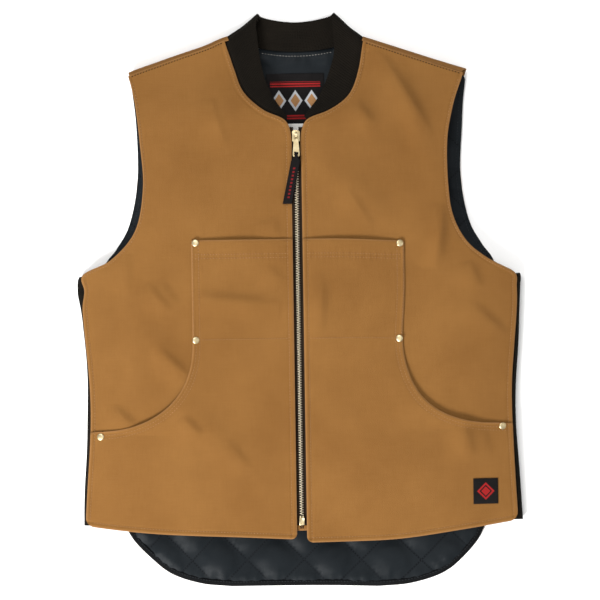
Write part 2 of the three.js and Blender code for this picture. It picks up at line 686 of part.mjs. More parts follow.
flatPiece("neck_label", NECK_LABEL, BLACK);
flatPiece("size_tag", SIZE_TAG, WHITE);

export default vest;
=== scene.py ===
# %% [markdown]
# # A quilted work vest, lying on its back
#
# The frame below is the measured vest: plain solids at their real size, in metres, with +X to the right
# seen from above, +Y towards the collar and +Z up. Each cell of this lesson dresses one piece of it:
# canvas, quilting, rib knit, brass, thread. Lengths are written in millimetres, as a tailor would.

# %% Frame
import math

import bmesh
import bpy
import numpy as np
from mathutils import Matrix, Vector, noise
from mathutils.bvhtree import BVHTree


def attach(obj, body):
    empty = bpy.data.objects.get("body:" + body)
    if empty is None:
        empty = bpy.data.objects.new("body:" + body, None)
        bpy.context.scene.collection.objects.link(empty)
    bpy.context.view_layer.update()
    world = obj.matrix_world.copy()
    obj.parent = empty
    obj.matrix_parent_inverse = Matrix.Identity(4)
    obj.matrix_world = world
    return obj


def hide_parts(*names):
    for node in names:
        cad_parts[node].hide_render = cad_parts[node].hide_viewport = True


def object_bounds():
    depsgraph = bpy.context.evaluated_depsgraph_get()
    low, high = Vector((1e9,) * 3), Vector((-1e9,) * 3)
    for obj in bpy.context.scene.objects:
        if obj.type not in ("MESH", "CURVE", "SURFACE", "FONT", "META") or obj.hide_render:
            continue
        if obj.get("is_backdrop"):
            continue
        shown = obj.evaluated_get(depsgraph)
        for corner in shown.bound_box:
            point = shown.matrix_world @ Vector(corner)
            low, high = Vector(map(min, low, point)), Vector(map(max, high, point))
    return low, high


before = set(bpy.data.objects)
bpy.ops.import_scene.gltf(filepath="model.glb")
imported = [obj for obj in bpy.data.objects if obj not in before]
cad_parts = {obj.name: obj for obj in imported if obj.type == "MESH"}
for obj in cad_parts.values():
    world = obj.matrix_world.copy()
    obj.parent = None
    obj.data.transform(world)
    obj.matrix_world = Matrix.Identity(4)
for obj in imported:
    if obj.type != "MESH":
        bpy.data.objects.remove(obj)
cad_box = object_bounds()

MM = 0.001
scene = bpy.context.scene
print("frame:", len(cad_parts), "nodes, box", [round(x, 3) for c in cad_box for x in c])

# %% [markdown]
# ## Camera, floor and light
#
# The picture was taken from straight above with a long lens, so the camera hangs over the middle of the
# vest, over three metres up. The vest leans about a degree, which is a turn of the camera about its own
# axis. The colours are judged against a white ground, so the plain "Standard" view is used: it keeps a
# surface's own colour, where a filmic view would grey it.

# %% Camera
CAMERA_HEIGHT = 3.2
FRAME_WIDTH = 0.786
SENSOR = 36.0
CAMERA_ROLL = math.radians(-0.9)
scene.view_settings.view_transform = "Standard"

camera = bpy.data.objects.new("camera", bpy.data.cameras.new("camera"))
scene.collection.objects.link(camera)
camera.data.sensor_width = SENSOR
camera.data.lens = SENSOR * (CAMERA_HEIGHT - 0.02) / FRAME_WIDTH
camera.location = (0.0, 0.0, CAMERA_HEIGHT)
camera.rotation_euler = (0.0, 0.0, CAMERA_ROLL)
scene.camera = camera
print("camera: lens", round(camera.data.lens, 1), "mm")

# %% [markdown]
# Soft studio light comes from big lamps. The key stands past the hem and a little to the left, so each
# pocket edge throws a thin shadow towards the collar and folds get a lit and a shaded flank. Weaker lamps
# fill from the collar end and the right, one hangs overhead for the brass to mirror, and a pale sky lifts
# the shadows. The floor is a plain pale sheet, marked as stage: it isn't part of the vest.

# %% Floor and light
def soft_light(name, place, aim, size, watts):
    lamp = bpy.data.lights.new(name, "AREA")
    lamp.shape = "DISK"
    lamp.size = size
    lamp.energy = watts
    light = bpy.data.objects.new(name, lamp)
    scene.collection.objects.link(light)
    light.location = place
    light.rotation_euler = (Vector(aim) - Vector(place)).to_track_quat("-Z", "Y").to_euler()


def mesh_from(bm, name):
    """Turns a finished bmesh into a mesh and frees it."""
    mesh = bpy.data.meshes.new(name)
    bm.to_mesh(mesh)
    bm.free()
    return mesh


soft_light("key", (-1.3, -1.9, 1.7), (0, 0, 0), 1.1, 150)
soft_light("collar_fill", (-0.7, 1.5, 2.2), (0, 0, 0), 1.6, 38)
soft_light("right_fill", (1.9, 0.2, 1.7), (0, 0, 0), 1.8, 12)
soft_light("overhead", (0.0, 0.0, 3.6), (0, 0, 0), 2.4, 17)

world = bpy.data.worlds.new("studio")
world.use_nodes = True
world.node_tree.nodes["Background"].inputs["Color"].default_value = (1.0, 0.99, 0.975, 1.0)
world.node_tree.nodes["Background"].inputs["Strength"].default_value = 0.5
scene.world = world

bm = bmesh.new()
bmesh.ops.create_grid(bm, x_segments=1, y_segments=1, size=6.0)
bmesh.ops.translate(bm, verts=bm.verts, vec=(0.0, 0.0, -0.0006))
floor_mesh = mesh_from(bm, "floor")
floor = bpy.data.objects.new("floor", floor_mesh)
scene.collection.objects.link(floor)
paper = bpy.data.materials.new("pale_paper")
paper.use_nodes = True
paper.node_tree.nodes["Principled BSDF"].inputs["Base Color"].default_value = (0.95, 0.95, 0.945, 1.0)
paper.node_tree.nodes["Principled BSDF"].inputs["Roughness"].default_value = 0.9
floor_mesh.materials.append(paper)
floor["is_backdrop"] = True
print("stage: floor and", len(bpy.data.lights), "soft lamps")

# %% [markdown]
# ## Node groups: what the cloths have in common
#
# Canvas, lining, tapes and labels are all woven, and all have yarn that is a little thicker here and a
# little paler there. Such an effect is built once, as a node group with named sockets, and then placed in
# each material with its own pitch. `wire` is a small helper: it adds a node, sets its values, links its
# inputs and gives back its outputs.

# %% Node helpers
def feed(tree, socket, value):
    """Links an output to an input socket, or sets the input to a plain value."""
    if isinstance(value, bpy.types.NodeSocket):
        tree.links.new(value, socket)
    else:
        socket.default_value = value


def wire(tree, kind, links=(), out=0, **settings):
    """Adds a node; links maps input names or numbers to sockets or values. Gives one output socket."""
    node = tree.nodes.new(kind)
    for key, value in settings.items():
        setattr(node, key, value)
    for key, value in dict(links).items():
        feed(tree, node.inputs[key], value)
    return node.outputs[out]


def calc(tree, operation, *values):
    return wire(tree, "ShaderNodeMath", dict(enumerate(values)), operation=operation)


def blend_colours(tree, share, first, second):
    links = {"Factor": share, "A": first, "B": second}
    node = tree.nodes.new("ShaderNodeMix")
    node.data_type = "RGBA"
    for name, value in links.items():
        feed(tree, next(s for s in node.inputs if s.name == name and s.enabled), value)
    return next(s for s in node.outputs if s.enabled)


def axes_of(tree, spot):
    """The X, Y and Z outputs of a vector."""
    split = tree.nodes.new("ShaderNodeSeparateXYZ")
    tree.links.new(spot, split.inputs[0])
    return split.outputs


def node_group(name, inputs, outputs):
    tree = bpy.data.node_groups.new(name, "ShaderNodeTree")
    for label, kind in inputs.items():
        tree.interface.new_socket(label, in_out="INPUT", socket_type=kind)
    for label, kind in outputs.items():
        tree.interface.new_socket(label, in_out="OUTPUT", socket_type=kind)
    entry = tree.nodes.new("NodeGroupInput")
    leave = tree.nodes.new("NodeGroupOutput")
    return tree, entry.outputs, leave.inputs


FLOAT, VECTOR, COLOUR = "NodeSocketFloat", "NodeSocketVector", "NodeSocketColor"

# %% [markdown]
# A plain weave is two sets of yarns that pass over and under in turn. Across a yarn its height is half a
# sine wave, and a chequer of cells says which set is on top. The group takes a place on the cloth and the
# number of yarns to a metre, and puts out that height.

# %% Group: plain weave
weave_group, given, result = node_group(
    "plain_weave", {"Cloth": VECTOR, "Yarns": FLOAT}, {"Height": FLOAT}
)
spot = wire(
    weave_group, "ShaderNodeVectorMath", {0: given["Cloth"], 3: given["Yarns"]}, operation="SCALE"
)
axes = axes_of(weave_group, spot)
rounded = []
cells = []
for axis in ("X", "Y"):
    turn = calc(weave_group, "MULTIPLY", axes[axis], math.pi)
    rounded.append(calc(weave_group, "ABSOLUTE", calc(weave_group, "SINE", turn)))
    cells.append(calc(weave_group, "FLOOR", axes[axis]))
chequer = calc(weave_group, "PINGPONG", calc(weave_group, "ADD", *cells), 1.0)
warp_up = calc(weave_group, "MULTIPLY", rounded[0], chequer)
weft_up = calc(weave_group, "MULTIPLY", rounded[1], calc(weave_group, "SUBTRACT", 1.0, chequer))
weave_group.links.new(calc(weave_group, "ADD", warp_up, weft_up), result["Height"])

# %% [markdown]
# Cotton yarn has slubs, thicker stretches that show as short pale streaks along the warp and the weft,
# and a dyed cloth is never one even colour. Three noises, two of them stretched, are enough for both.

# %% Group: uneven yarn and dye
dye_group, given, result = node_group(
    "uneven_dye", {"Cloth": VECTOR, "Blotch": FLOAT, "Slub": FLOAT}, {"Tone": FLOAT, "Streak": FLOAT}
)
blotch = wire(
    dye_group,
    "ShaderNodeTexNoise",
    {"Vector": given["Cloth"], "Scale": given["Blotch"], "Detail": 4.0, "Roughness": 0.6},
)
streaks = []
for stretch in ((1.0, 0.06, 1.0), (0.06, 1.0, 1.0)):
    drawn = wire(
        dye_group, "ShaderNodeVectorMath", {0: given["Cloth"], 1: stretch}, operation="MULTIPLY"
    )
    links = {"Vector": drawn, "Scale": given["Slub"], "Detail": 3.0, "Roughness": 0.55}
    streaks.append(wire(dye_group, "ShaderNodeTexNoise", links))
streak = calc(dye_group, "MULTIPLY", calc(dye_group, "ADD", *streaks), 0.5)
shares = [calc(dye_group, "MULTIPLY", part, share) for part, share in ((blotch, 0.75), (streak, 0.25))]
mixed = calc(dye_group, "ADD", *shares)
dye_group.links.new(mixed, result["Tone"])
dye_group.links.new(streak, result["Streak"])

# %% [markdown]
# Work clothes pale first where they rub: along turned edges. Each sheet of cloth below carries an
# attribute called edge, the distance to its nearest edge in metres. The wear group turns it into a mask
# that is strongest on the rim and broken up by noise.

# %% Group: edge wear
wear_group, given, result = node_group(
    "edge_wear", {"Edge": FLOAT, "Cloth": VECTOR, "Reach": FLOAT}, {"Mask": FLOAT}
)
near = calc(wear_group, "DIVIDE", given["Edge"], given["Reach"])
fade = calc(wear_group, "SUBTRACT", 1.0, calc(wear_group, "MINIMUM", near, 1.0))
patchy = wire(wear_group, "ShaderNodeTexNoise", {"Vector": given["Cloth"], "Scale": 140.0, "Detail": 3.0})
rubbed = calc(wear_group, "MULTIPLY", fade, calc(wear_group, "ADD", patchy, 0.25))
wear_group.links.new(rubbed, result["Mask"])
print("node groups:", [g.name for g in bpy.data.node_groups])

# %% [markdown]
# ## Materials
#
# Every woven finish here is the same recipe: two shades of dye mixed by the uneven tone, a painted shade
# between the yarns where the weave is low, paler on worn edges, and the weave's height as bump. One function
# makes them all, from the yarn count to the woven figure of a label. Numbers that are the same all over,
# such as shine, are set straight on the shader.

# %% Woven finishes
def new_material(name):
    made = bpy.data.materials.new(name)
    made.use_nodes = True
    return made, made.node_tree, made.node_tree.nodes["Principled BSDF"]


def use_group(tree, group, **links):
    node = tree.nodes.new("ShaderNodeGroup")
    node.node_tree = group
    for key, value in links.items():
        feed(tree, node.inputs[key], value)
    return node.outputs


def spread_out(tree, value, low, high):
    links = {"Value": value, "From Min": low, "From Max": high}
    return wire(tree, "ShaderNodeMapRange", links)


def shade(red, green, blue, times=1.0):
    """A colour in linear light, made darker or lighter by a factor."""
    return (red * times, green * times, blue * times, 1.0)


def woven(name, dark, light, yarns, depth, rough, worn=None, reach=0.004, shine=0.06, figures=()):
    made, tree, shader = new_material(name)
    cloth = wire(tree, "ShaderNodeUVMap", uv_map="cloth")
    weave = use_group(tree, weave_group, Cloth=cloth, Yarns=yarns)
    dye = use_group(tree, dye_group, Cloth=cloth, Blotch=8.0, Slub=yarns * 0.4)
    colour = blend_colours(tree, spread_out(tree, dye["Tone"], 0.36, 0.64), dark, light)
    for figure, thread in figures:
        colour = blend_colours(tree, figure(tree, cloth), colour, thread)
    if worn:
        rubbed = wire(tree, "ShaderNodeAttribute", out="Fac", attribute_name="edge")
        mask = use_group(tree, wear_group, Edge=rubbed, Cloth=cloth, Reach=reach)["Mask"]
        colour = blend_colours(tree, mask, colour, worn)
    # Painted shade: where the weave is low, between the yarns, the colour is mixed towards a darker shade of
    # the dye.
    between = calc(tree, "MULTIPLY", spread_out(tree, weave["Height"], 0.55, 0.0), 0.4)
    colour = blend_colours(tree, between, colour, shade(*dark[:3], 0.45))
    tree.links.new(colour, shader.inputs["Base Color"])
    polish = calc(tree, "MULTIPLY", dye["Streak"], -0.3)
    tree.links.new(calc(tree, "ADD", polish, rough + 0.15), shader.inputs["Roughness"])
    uneven = calc(tree, "MULTIPLY", dye["Streak"], 1.5)
    height = calc(tree, "ADD", weave["Height"], uneven)
    bump = wire(tree, "ShaderNodeBump", {"Height": height, "Distance": depth, "Strength": 0.8})
    tree.links.new(bump, shader.inputs["Normal"])
    shader.inputs["Specular IOR Level"].default_value = shine
    return made


CANVAS_DARK = shade(0.164, 0.0705, 0.0143)
CANVAS_LIGHT = shade(0.206, 0.0935, 0.0216)
duck_canvas = woven(
    "duck_canvas", CANVAS_DARK, CANVAS_LIGHT, 1600.0, 0.00016, 0.9, shade(0.245, 0.122, 0.043), 0.0026, 0.2
)
zip_weave = woven(
    "zip_weave", shade(0.0115, 0.0072, 0.0045), shade(0.021, 0.0135, 0.0086), 1900.0, 0.00012, 0.85
)
black_weave = woven(
    "black_weave", shade(0.0028, 0.003, 0.0033), shade(0.0066, 0.0071, 0.0078), 2200.0, 0.0001, 0.8
)
white_weave = woven("white_weave", shade(0.74, 0.73, 0.7), shade(0.86, 0.85, 0.82), 2400.0, 0.00006, 0.8)
print("woven finishes: canvas, zip tape, black and white tape")

# %% [markdown]
# The lining is nylon taffeta: far finer than the canvas, slate black, smooth enough to give the puffs a
# soft shine. Its quilting thread is drawn by a mask from the cloth's own coordinates: the distance to the
# nearest of two crossing sets of lines, cut into dashes. A wider, unbroken line of the same mask darkens the
# stitch grooves: a painted shade. Rib knit has no weave. Its ribs are modelled, and the bump adds the small
# V-shaped loops that run up each rib, one every two millimetres; between the loops the colour is darkened,
# another painted shade.

# %% Lining and knit
DIAMOND = 75.0
STITCH_LEVEL = -341.25
YOKE = 230.0


def seam_shade_and_thread(width, dash=None):
    """Crossing stitch lines on the lining up to the yoke, in metres. Without a dash, and given a near-black
    colour, they are the painted shade of the stitch grooves; a dash breaks them into stitches of thread.
    """
    def mask(tree, cloth):
        axes = axes_of(tree, cloth)
        high = calc(tree, "SUBTRACT", axes["Y"], STITCH_LEVEL * MM)
        lines = [calc(tree, sign, axes["X"], high) for sign in ("ADD", "SUBTRACT")]
        found = []
        for line, other in (lines, lines[::-1]):
            away = calc(tree, "PINGPONG", line, DIAMOND * MM / 2.0)
            on = calc(tree, "LESS_THAN", away, width)
            if dash:
                thread = calc(tree, "LESS_THAN", calc(tree, "PINGPONG", other, dash), 0.6 * dash)
                on = calc(tree, "MULTIPLY", on, thread)
            found.append(on)
        below_yoke = calc(tree, "LESS_THAN", axes["Y"], YOKE * MM)
        return calc(tree, "MULTIPLY", calc(tree, "MAXIMUM", *found), below_yoke)

    return mask


lining_nylon = woven(
    "lining_nylon", shade(0.0068, 0.0086, 0.0102), shade(0.0096, 0.0119, 0.0138), 3200.0, 0.00003, 0.4,
    shine=0.05,
    figures=[
        # painted shade: a near-black line, wider than the thread, along each stitch groove
        (seam_shade_and_thread(0.0012), shade(0.0016, 0.002, 0.0026)),
        (seam_shade_and_thread(0.0006, 0.0026), shade(0.012, 0.0145, 0.0175)),
    ],
)

RIB_PITCH = 3.2
LOOP_PITCH = 2.0

rib_knit, tree, shader = new_material("rib_knit")
cloth = wire(tree, "ShaderNodeUVMap", uv_map="cloth")
axes = axes_of(tree, cloth)
across = calc(tree, "MULTIPLY", axes["X"], 2.0 * math.pi / (RIB_PITCH * MM))
lean = calc(tree, "MULTIPLY", calc(tree, "ABSOLUTE", calc(tree, "SINE", across)), 2.2)
up = calc(tree, "MULTIPLY", axes["Y"], 2.0 * math.pi / (LOOP_PITCH * MM))
loops = calc(tree, "SINE", calc(tree, "ADD", up, lean))
fuzz = wire(tree, "ShaderNodeTexNoise", {"Vector": cloth, "Scale": 1800.0, "Detail": 3.0})
knit_dye = use_group(tree, dye_group, Cloth=cloth, Blotch=14.0, Slub=260.0)
knit_tone = spread_out(tree, knit_dye["Tone"], 0.36, 0.64)
yarn = blend_colours(tree, knit_tone, shade(0.0044, 0.0033, 0.0021), shade(0.0078, 0.0058, 0.0037))
# Painted shade: the colour darkens towards near black in the hollows between the knit loops.
loop_hollow_shade = calc(tree, "MULTIPLY", spread_out(tree, loops, 0.2, -1.0), 0.45)
tree.links.new(blend_colours(tree, loop_hollow_shade, yarn, shade(0.0018, 0.0013, 0.0008)), shader.inputs["Base Color"])
tree.links.new(spread_out(tree, fuzz, -2.0, 0.8), shader.inputs["Roughness"])
height = calc(tree, "ADD", loops, fuzz)
bump = wire(tree, "ShaderNodeBump", {"Height": height, "Distance": 0.00025, "Strength": 0.8})
tree.links.new(bump, shader.inputs["Normal"])
shader.inputs["Sheen Weight"].default_value = 0.02
shader.inputs["Specular IOR Level"].default_value = 0.06
print("knit: ribs every", RIB_PITCH, "mm, loops every", LOOP_PITCH, "mm")

# %% [markdown]
# Zip, slider and rivets are plain yellow brass with a thin clear finish. It is bright where it is handled
# and slightly brown where it isn't, which one noise on Object coordinates gives: these pieces are hard, so
# a pattern that stays in place is right. Sewing thread is a small twisted cord, paler than its cloth.

# %% Brass and thread
def metal(name, bright, dull, rough, scale):
    made, tree, shader = new_material(name)
    place = wire(tree, "ShaderNodeTexCoord", out="Object")
    patchy = {"Vector": place, "Scale": scale, "Detail": 5.0, "Roughness": 0.65}
    stain = wire(tree, "ShaderNodeTexNoise", patchy)
    scuff = wire(tree, "ShaderNodeTexNoise", {"Vector": place, "Scale": scale * 9.0, "Detail": 2.0})
    share = spread_out(tree, stain, 0.42, 0.75)
    tree.links.new(blend_colours(tree, share, bright, dull), shader.inputs["Base Color"])
    smear = calc(tree, "ADD", calc(tree, "MULTIPLY", share, 0.2), calc(tree, "MULTIPLY", scuff, 0.16))
    tree.links.new(calc(tree, "ADD", smear, rough), shader.inputs["Roughness"])
    shader.inputs["Metallic"].default_value = 1.0
    bump = wire(tree, "ShaderNodeBump", {"Height": scuff, "Distance": 0.00002, "Strength": 0.5})
    tree.links.new(bump, shader.inputs["Normal"])
    return made


def thread(name, dark, light):
    made, tree, shader = new_material(name)
    place = wire(tree, "ShaderNodeTexCoord", out="Object")
    strand = wire(tree, "ShaderNodeTexNoise", {"Vector": place, "Scale": 900.0, "Detail": 2.0})
    dyed = blend_colours(tree, spread_out(tree, strand, 0.35, 0.65), dark, light)
    tree.links.new(dyed, shader.inputs["Base Color"])
    tree.links.new(spread_out(tree, strand, -1.2, 1.1), shader.inputs["Roughness"])
    shader.inputs["Specular IOR Level"].default_value = 0.08
    bump = wire(tree, "ShaderNodeBump", {"Height": strand, "Distance": 0.0001, "Strength": 0.6})
    tree.links.new(bump, shader.inputs["Normal"])
    return made


brass = metal("brass", shade(0.56, 0.47, 0.29), shade(0.42, 0.32, 0.16), 0.26, 160.0)
tooth_brass = metal("tooth_brass", shade(0.72, 0.65, 0.5), shade(0.46, 0.38, 0.25), 0.24, 420.0)
tan_thread = thread("tan_thread", shade(0.2, 0.098, 0.037), shade(0.29, 0.16, 0.076))
slate_thread = thread("slate_thread", shade(0.010, 0.0115, 0.0135), shade(0.027, 0.03, 0.034))
# Near-black thread: the real shoulder stitches, made so dark that they also paint the dotted shade along the
# lapped seam.
brown_thread_and_seam_shade = thread("brown_thread_and_seam_shade", shade(0.008, 0.0034, 0.0012), shade(0.022, 0.01, 0.0036))
pale_thread = thread("pale_thread", shade(0.13, 0.123, 0.11), shade(0.24, 0.226, 0.206))
print("materials:", len(bpy.data.materials))

# %% [markdown]
# ## How a sheet of cloth is made
#
# Every panel starts as a flat grid, made by one bmesh operator. A function then says where each point of
# the grid lies on the vest, which keeps the threads of the cloth in order: the grid's own rows and columns
# become warp and weft. Rows and columns are closer together near the edges, where hems and stitches need
# the detail. A Solidify modifier gives the cloth its thickness, and a small Bevel rounds the turned edge.

# %% Sheet helpers
def smoothstep(x, low, high):
    t = np.clip((x - low) / (high - low), 0.0, 1.0)
    return t * t * (3.0 - 2.0 * t)


def lerp(a, b, t):
    return a + (b - a) * t


def paces(length, step, fine=1.3, hem=10.4):
    """Distances from 0 to length, close together near both ends."""
    edge = np.arange(0.0, hem, fine)
    middle = np.linspace(hem, length - hem, max(2, round((length - 2.0 * hem) / step) + 1))
    return np.concatenate([edge, middle, (length - edge)[::-1]])


def read_points(mesh):
    flat = np.zeros(len(mesh.vertices) * 3)
    mesh.vertices.foreach_get("co", flat)
    return flat.reshape(-1, 3)


def write_points(mesh, spots):
    mesh.vertices.foreach_set("co", np.ascontiguousarray(spots, dtype=np.float32).ravel())
    mesh.update()


def write_cloth(mesh, cloth, edge):
    """Stores each point's place on the flat cloth as a UV map, and its distance to the edge."""
    corner = np.zeros(len(mesh.loops), np.int32)
    mesh.loops.foreach_get("vertex_index", corner)
    layer = mesh.uv_layers.new(name="cloth")
    layer.data.foreach_set("uv", (np.asarray(cloth)[corner] * MM).astype(np.float32).ravel())
    rim = mesh.attributes.new("edge", "FLOAT", "POINT")
    rim.data.foreach_set("value", np.asarray(edge, np.float32) * MM)


def sheet_mesh(name, across, along, place, turned=False):
    """A grid whose columns and rows take the given values; place gives spots, cloth and edge in mm."""
    bm = bmesh.new()
    bmesh.ops.create_grid(bm, x_segments=len(across) - 1, y_segments=len(along) - 1, size=0.5)
    mesh = mesh_from(bm, name)
    grid = read_points(mesh)
    u = np.interp(grid[:, 0], np.linspace(-0.5, 0.5, len(across)), across)
    v = np.interp(grid[:, 1], np.linspace(-0.5, 0.5, len(along)), along)
    spots, cloth, edge = place(u, v)
    write_points(mesh, spots * MM)
    write_cloth(mesh, cloth, edge)
    if turned:
        mesh.flip_normals()
    return mesh


pieces = []


def piece(name, mesh, finish, slot, *nodes):
    """Puts a mesh into the scene as a piece of the vest, in the place of the plain solids named last."""
    obj = bpy.data.objects.new(name, mesh)
    scene.collection.objects.link(obj)
    pieces.append(obj)
    mesh.materials.append(finish)
    mesh.shade_smooth()
    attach(obj, "root")
    if nodes:
        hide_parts(*nodes)
    return obj


def thicken(obj, thick, rim=0.45, segments=2):
    wall = obj.modifiers.new("thickness", "SOLIDIFY")
    wall.thickness = thick * MM
    wall.offset = -1.0
    if rim:
        turned_edge = obj.modifiers.new("turned_edge", "BEVEL")
        turned_edge.width = rim * MM
        turned_edge.segments = segments
        turned_edge.limit_method = "ANGLE"
        turned_edge.angle_limit = math.radians(55)


def curve_through(points):
    """A smooth curve through the points; a whole step of its parameter is one point."""
    p = np.array(points, float)
    p = np.vstack([2.0 * p[0] - p[1], p, 2.0 * p[-1] - p[-2]])
    gaps = np.sum(np.diff(p, axis=0) ** 2, axis=1) ** 0.25
    last = len(points) - 2

    def at(t):
        t = np.asarray(t, float)
        i = np.clip(t.astype(int), 0, last)
        f = (t - i)[..., None]
        a, b, c, d = (p[i + k] for k in range(4))
        before, here, after = (gaps[i + k][..., None] for k in range(3))
        leave = ((b - a) / before - (c - a) / (before + here) + (c - b) / here) * here
        reach = ((c - b) / here - (d - b) / (here + after) + (d - c) / after) * here
        bend = 3.0 * (c - b) - 2.0 * leave - reach
        return b + f * (leave + f * (bend + f * (2.0 * (b - c) + leave + reach)))

    return at


def run_along(line):
    """The distance from a line's start to each of its points."""
    return np.concatenate([[0.0], np.cumsum(np.linalg.norm(np.diff(line, axis=0), axis=1))])


def unit(rows):
    return rows / np.linalg.norm(rows, axis=1)[:, None]


def nearest_on(line, spots):
    """Each spot's distance to a line drawn through points, and how far along the line that is."""
    best = np.full(len(spots), np.inf)
    along = np.zeros(len(spots))
    start = 0.0
    for a, b in zip(line[:-1], line[1:]):
        length = np.linalg.norm(b - a)
        share = np.clip((spots - a) @ (b - a) / length**2, 0.0, 1.0)
        gap = np.linalg.norm(spots - a - share[:, None] * (b - a), axis=1)
        closer = gap < best
        best[closer] = gap[closer]
        along[closer] = start + share[closer] * length
        start += length
    return best, along


def inked(curve, low, high, count):
    """A line of points along a curve, and the distance from its start to each of them."""
    steps = np.linspace(low, high, count)
    line = curve(steps)
    return steps, line, run_along(line)


print("sheet helpers ready")

# %% [markdown]
# ## The lie of the front
#
# The vest lies on its back with a little air inside, so the front is a low dome: highest along the zip,
# falling to the sides, the hem and the shoulders. On that dome lie soft folds, each one a smooth ridge with
# a place, a length, a width and a direction, and slow swells that any cloth has. Stiff canvas also keeps
# creases: ridges with one steep side, drawn here from end to end. Both layers of the front use the same
# functions, so they stay one above the other.

# %% Sizes of the front
CANVAS = 1.6
GAP = 0.5
FRONT_SHIFT = -2.0
HALF_WIDTH = 285.0
HEIGHT = {"hem": 27.0, "chest": 33.5, "shoulder": 20.4, "side": 18.0}
LEVEL = {"hem": -317.0, "pocket_floor": -185.0, "chest": 228.0, "shoulder": 325.0}

# Half of a front from hem to shoulder: x and y of its edge at the zip and neck, then of its outer edge
FRONT_SECTIONS = {
    "hem": (6.5, -317, 283.5, -292),
    "patch": (6.5, -250, 280.5, -230),
    "pocket end": (6.5, -185, 278, -170),
    "waist": (6.5, -110, 277, -105),
    "ribs": (6.5, -25, 282, -30),
    "side top": (6.5, 22, 285, 16),
    "underarm": (6.5, 42, 284.5, 35),
    "armhole floor": (6.5, 75, 245, 56),
    "armhole bend": (6.5, 112, 213, 92),
    "armhole side": (6.5, 165, 200.5, 150),
    "zip top": (7, 220, 201.5, 208),
    "neck start": (14, 235, 203.5, 228),
    "neck low": (42, 249, 206, 244),
    "neck bend": (69, 274, 209, 260),
    "neck side": (83, 304, 213, 276),
    "shoulder": (88, 334, 217, 291),
}
SECTION = {name: i for i, name in enumerate(FRONT_SECTIONS)}
front_inner = curve_through([row[:2] for row in FRONT_SECTIONS.values()])
front_outer = curve_through([row[2:] for row in FRONT_SECTIONS.values()])
LAST = len(FRONT_SECTIONS) - 1
HEM_BOW = 5.5

# Fold line of the shoulder from the neck to the tip, and how far the front laps over the back there
SHOULDER = {"neck": np.array([90.0, 343.0]), "tip": np.array([220.7, 299.0]), "end": math.radians(70)}
ROLL = HEIGHT["shoulder"] / (1.0 + math.sin(SHOULDER["end"]))
LAP = {"neck": 5.4, "tip": 4.0}
shoulder_run = SHOULDER["tip"] - SHOULDER["neck"]
shoulder_out = np.array([-shoulder_run[1], shoulder_run[0]]) / np.linalg.norm(shoulder_run)

# Folds: layer, place, half length, half width, rise, direction in degrees
FOLDS = [
    ("canvas", 151, 251, 62, 15, 3.4, -68),
    ("canvas", 79, 140, 48, 17, 2.6, -37),
    ("canvas", 186, 84, 36, 12, 3.0, -99),
    ("canvas", 91, 237, 20, 12, 1.8, -70),
    ("canvas", -92, 236, 34, 15, 2.4, -90),
    ("canvas", -216, -50, 50, 17, 2.4, -88),
    ("canvas", -178, -62, 34, 16, 2.6, -48),
    ("pocket", -120, -172, 46, 18, 2.6, -45),
    ("pocket", 214, -178, 34, 14, 2.6, -88),
    ("pocket", -75, 0, 48, 14, 1.6, 0),
    ("pocket", 27, 0, 28, 12, 1.8, -85),
]

# Creases: layer, first end, last end, rise; the steep side is on the left of that direction
CREASES = [
    ("canvas", (-222, 64), (-229, 12), 2.8),
    ("canvas", (-200, 24), (-168, -16), 3.2),
    ("canvas", (-185, 28), (-158, -8), 2.4),
    ("canvas", (-188, -60), (-143, -102), 3.8),
    ("canvas", (-250, -138), (-214, -166), 3.6),
    ("canvas", (106, 328), (180, 210), 4.0),
    ("canvas", (72, 264), (101, 226), 2.8),
    ("canvas", (63, 146), (95, 96), 2.6),
    ("canvas", (194, 124), (177, 42), 4.2),
    ("canvas", (223, 50), (235, 11), 3.0),
    ("canvas", (221, -5), (271, -54), 3.4),
    ("canvas", (-112, 266), (-95, 202), 2.6),
    ("canvas", (-34, 108), (-26, 78), 1.8),
    ("pocket", (-138, 6), (-22, -6), 3.2),
    ("pocket", (-156, -151), (-130, -178), 3.8),
    ("pocket", (-44, 40), (-18, 26), 1.6),
    ("pocket", (32, 34), (25, -52), 2.0),
    ("pocket", (-98, -184), (-68, -224), 2.4),
    ("pocket", (212, -166), (224, -210), 2.4),
    ("pocket", (236, -172), (245, -206), 1.8),
]
STEEP, GENTLE = 7.0, 22.0


def front_height(x, y):
    rising = lerp(HEIGHT["hem"], HEIGHT["chest"], smoothstep(y, LEVEL["hem"], LEVEL["pocket_floor"]))
    crown = lerp(rising, HEIGHT["shoulder"], smoothstep(y, LEVEL["chest"], LEVEL["shoulder"]))
    return HEIGHT["side"] + (crown - HEIGHT["side"]) * (1.0 - np.abs(x / HALF_WIDTH) ** 3)


def fold_rise(layer, x, y):
    rise = np.zeros_like(x)
    for on, fx, fy, reach, width, height, turn in FOLDS:
        if on == layer:
            c, s = math.cos(math.radians(turn)), math.sin(math.radians(turn))
            along = (x - fx) * c + (y - fy) * s
            across = (y - fy) * c - (x - fx) * s
            rise += height * np.exp(-((along / reach) ** 2) - (across / width) ** 2)
    return rise


def crease_rise(layer, x, y):
    rise = np.zeros_like(x)
    for on, first, last, height in CREASES:
        if on == layer:
            length = math.dist(first, last)
            c, s = (last[0] - first[0]) / length, (last[1] - first[1]) / length
            along = ((x - first[0]) * c + (y - first[1]) * s) / length
            across = (y - first[1]) * c - (x - first[0]) * s
            fade = np.sin(math.pi * np.clip(along, 0.0, 1.0)) ** 0.8
            rise += height * fade * np.exp(-((across / np.where(across > 0.0, STEEP, GENTLE)) ** 2))
    return rise


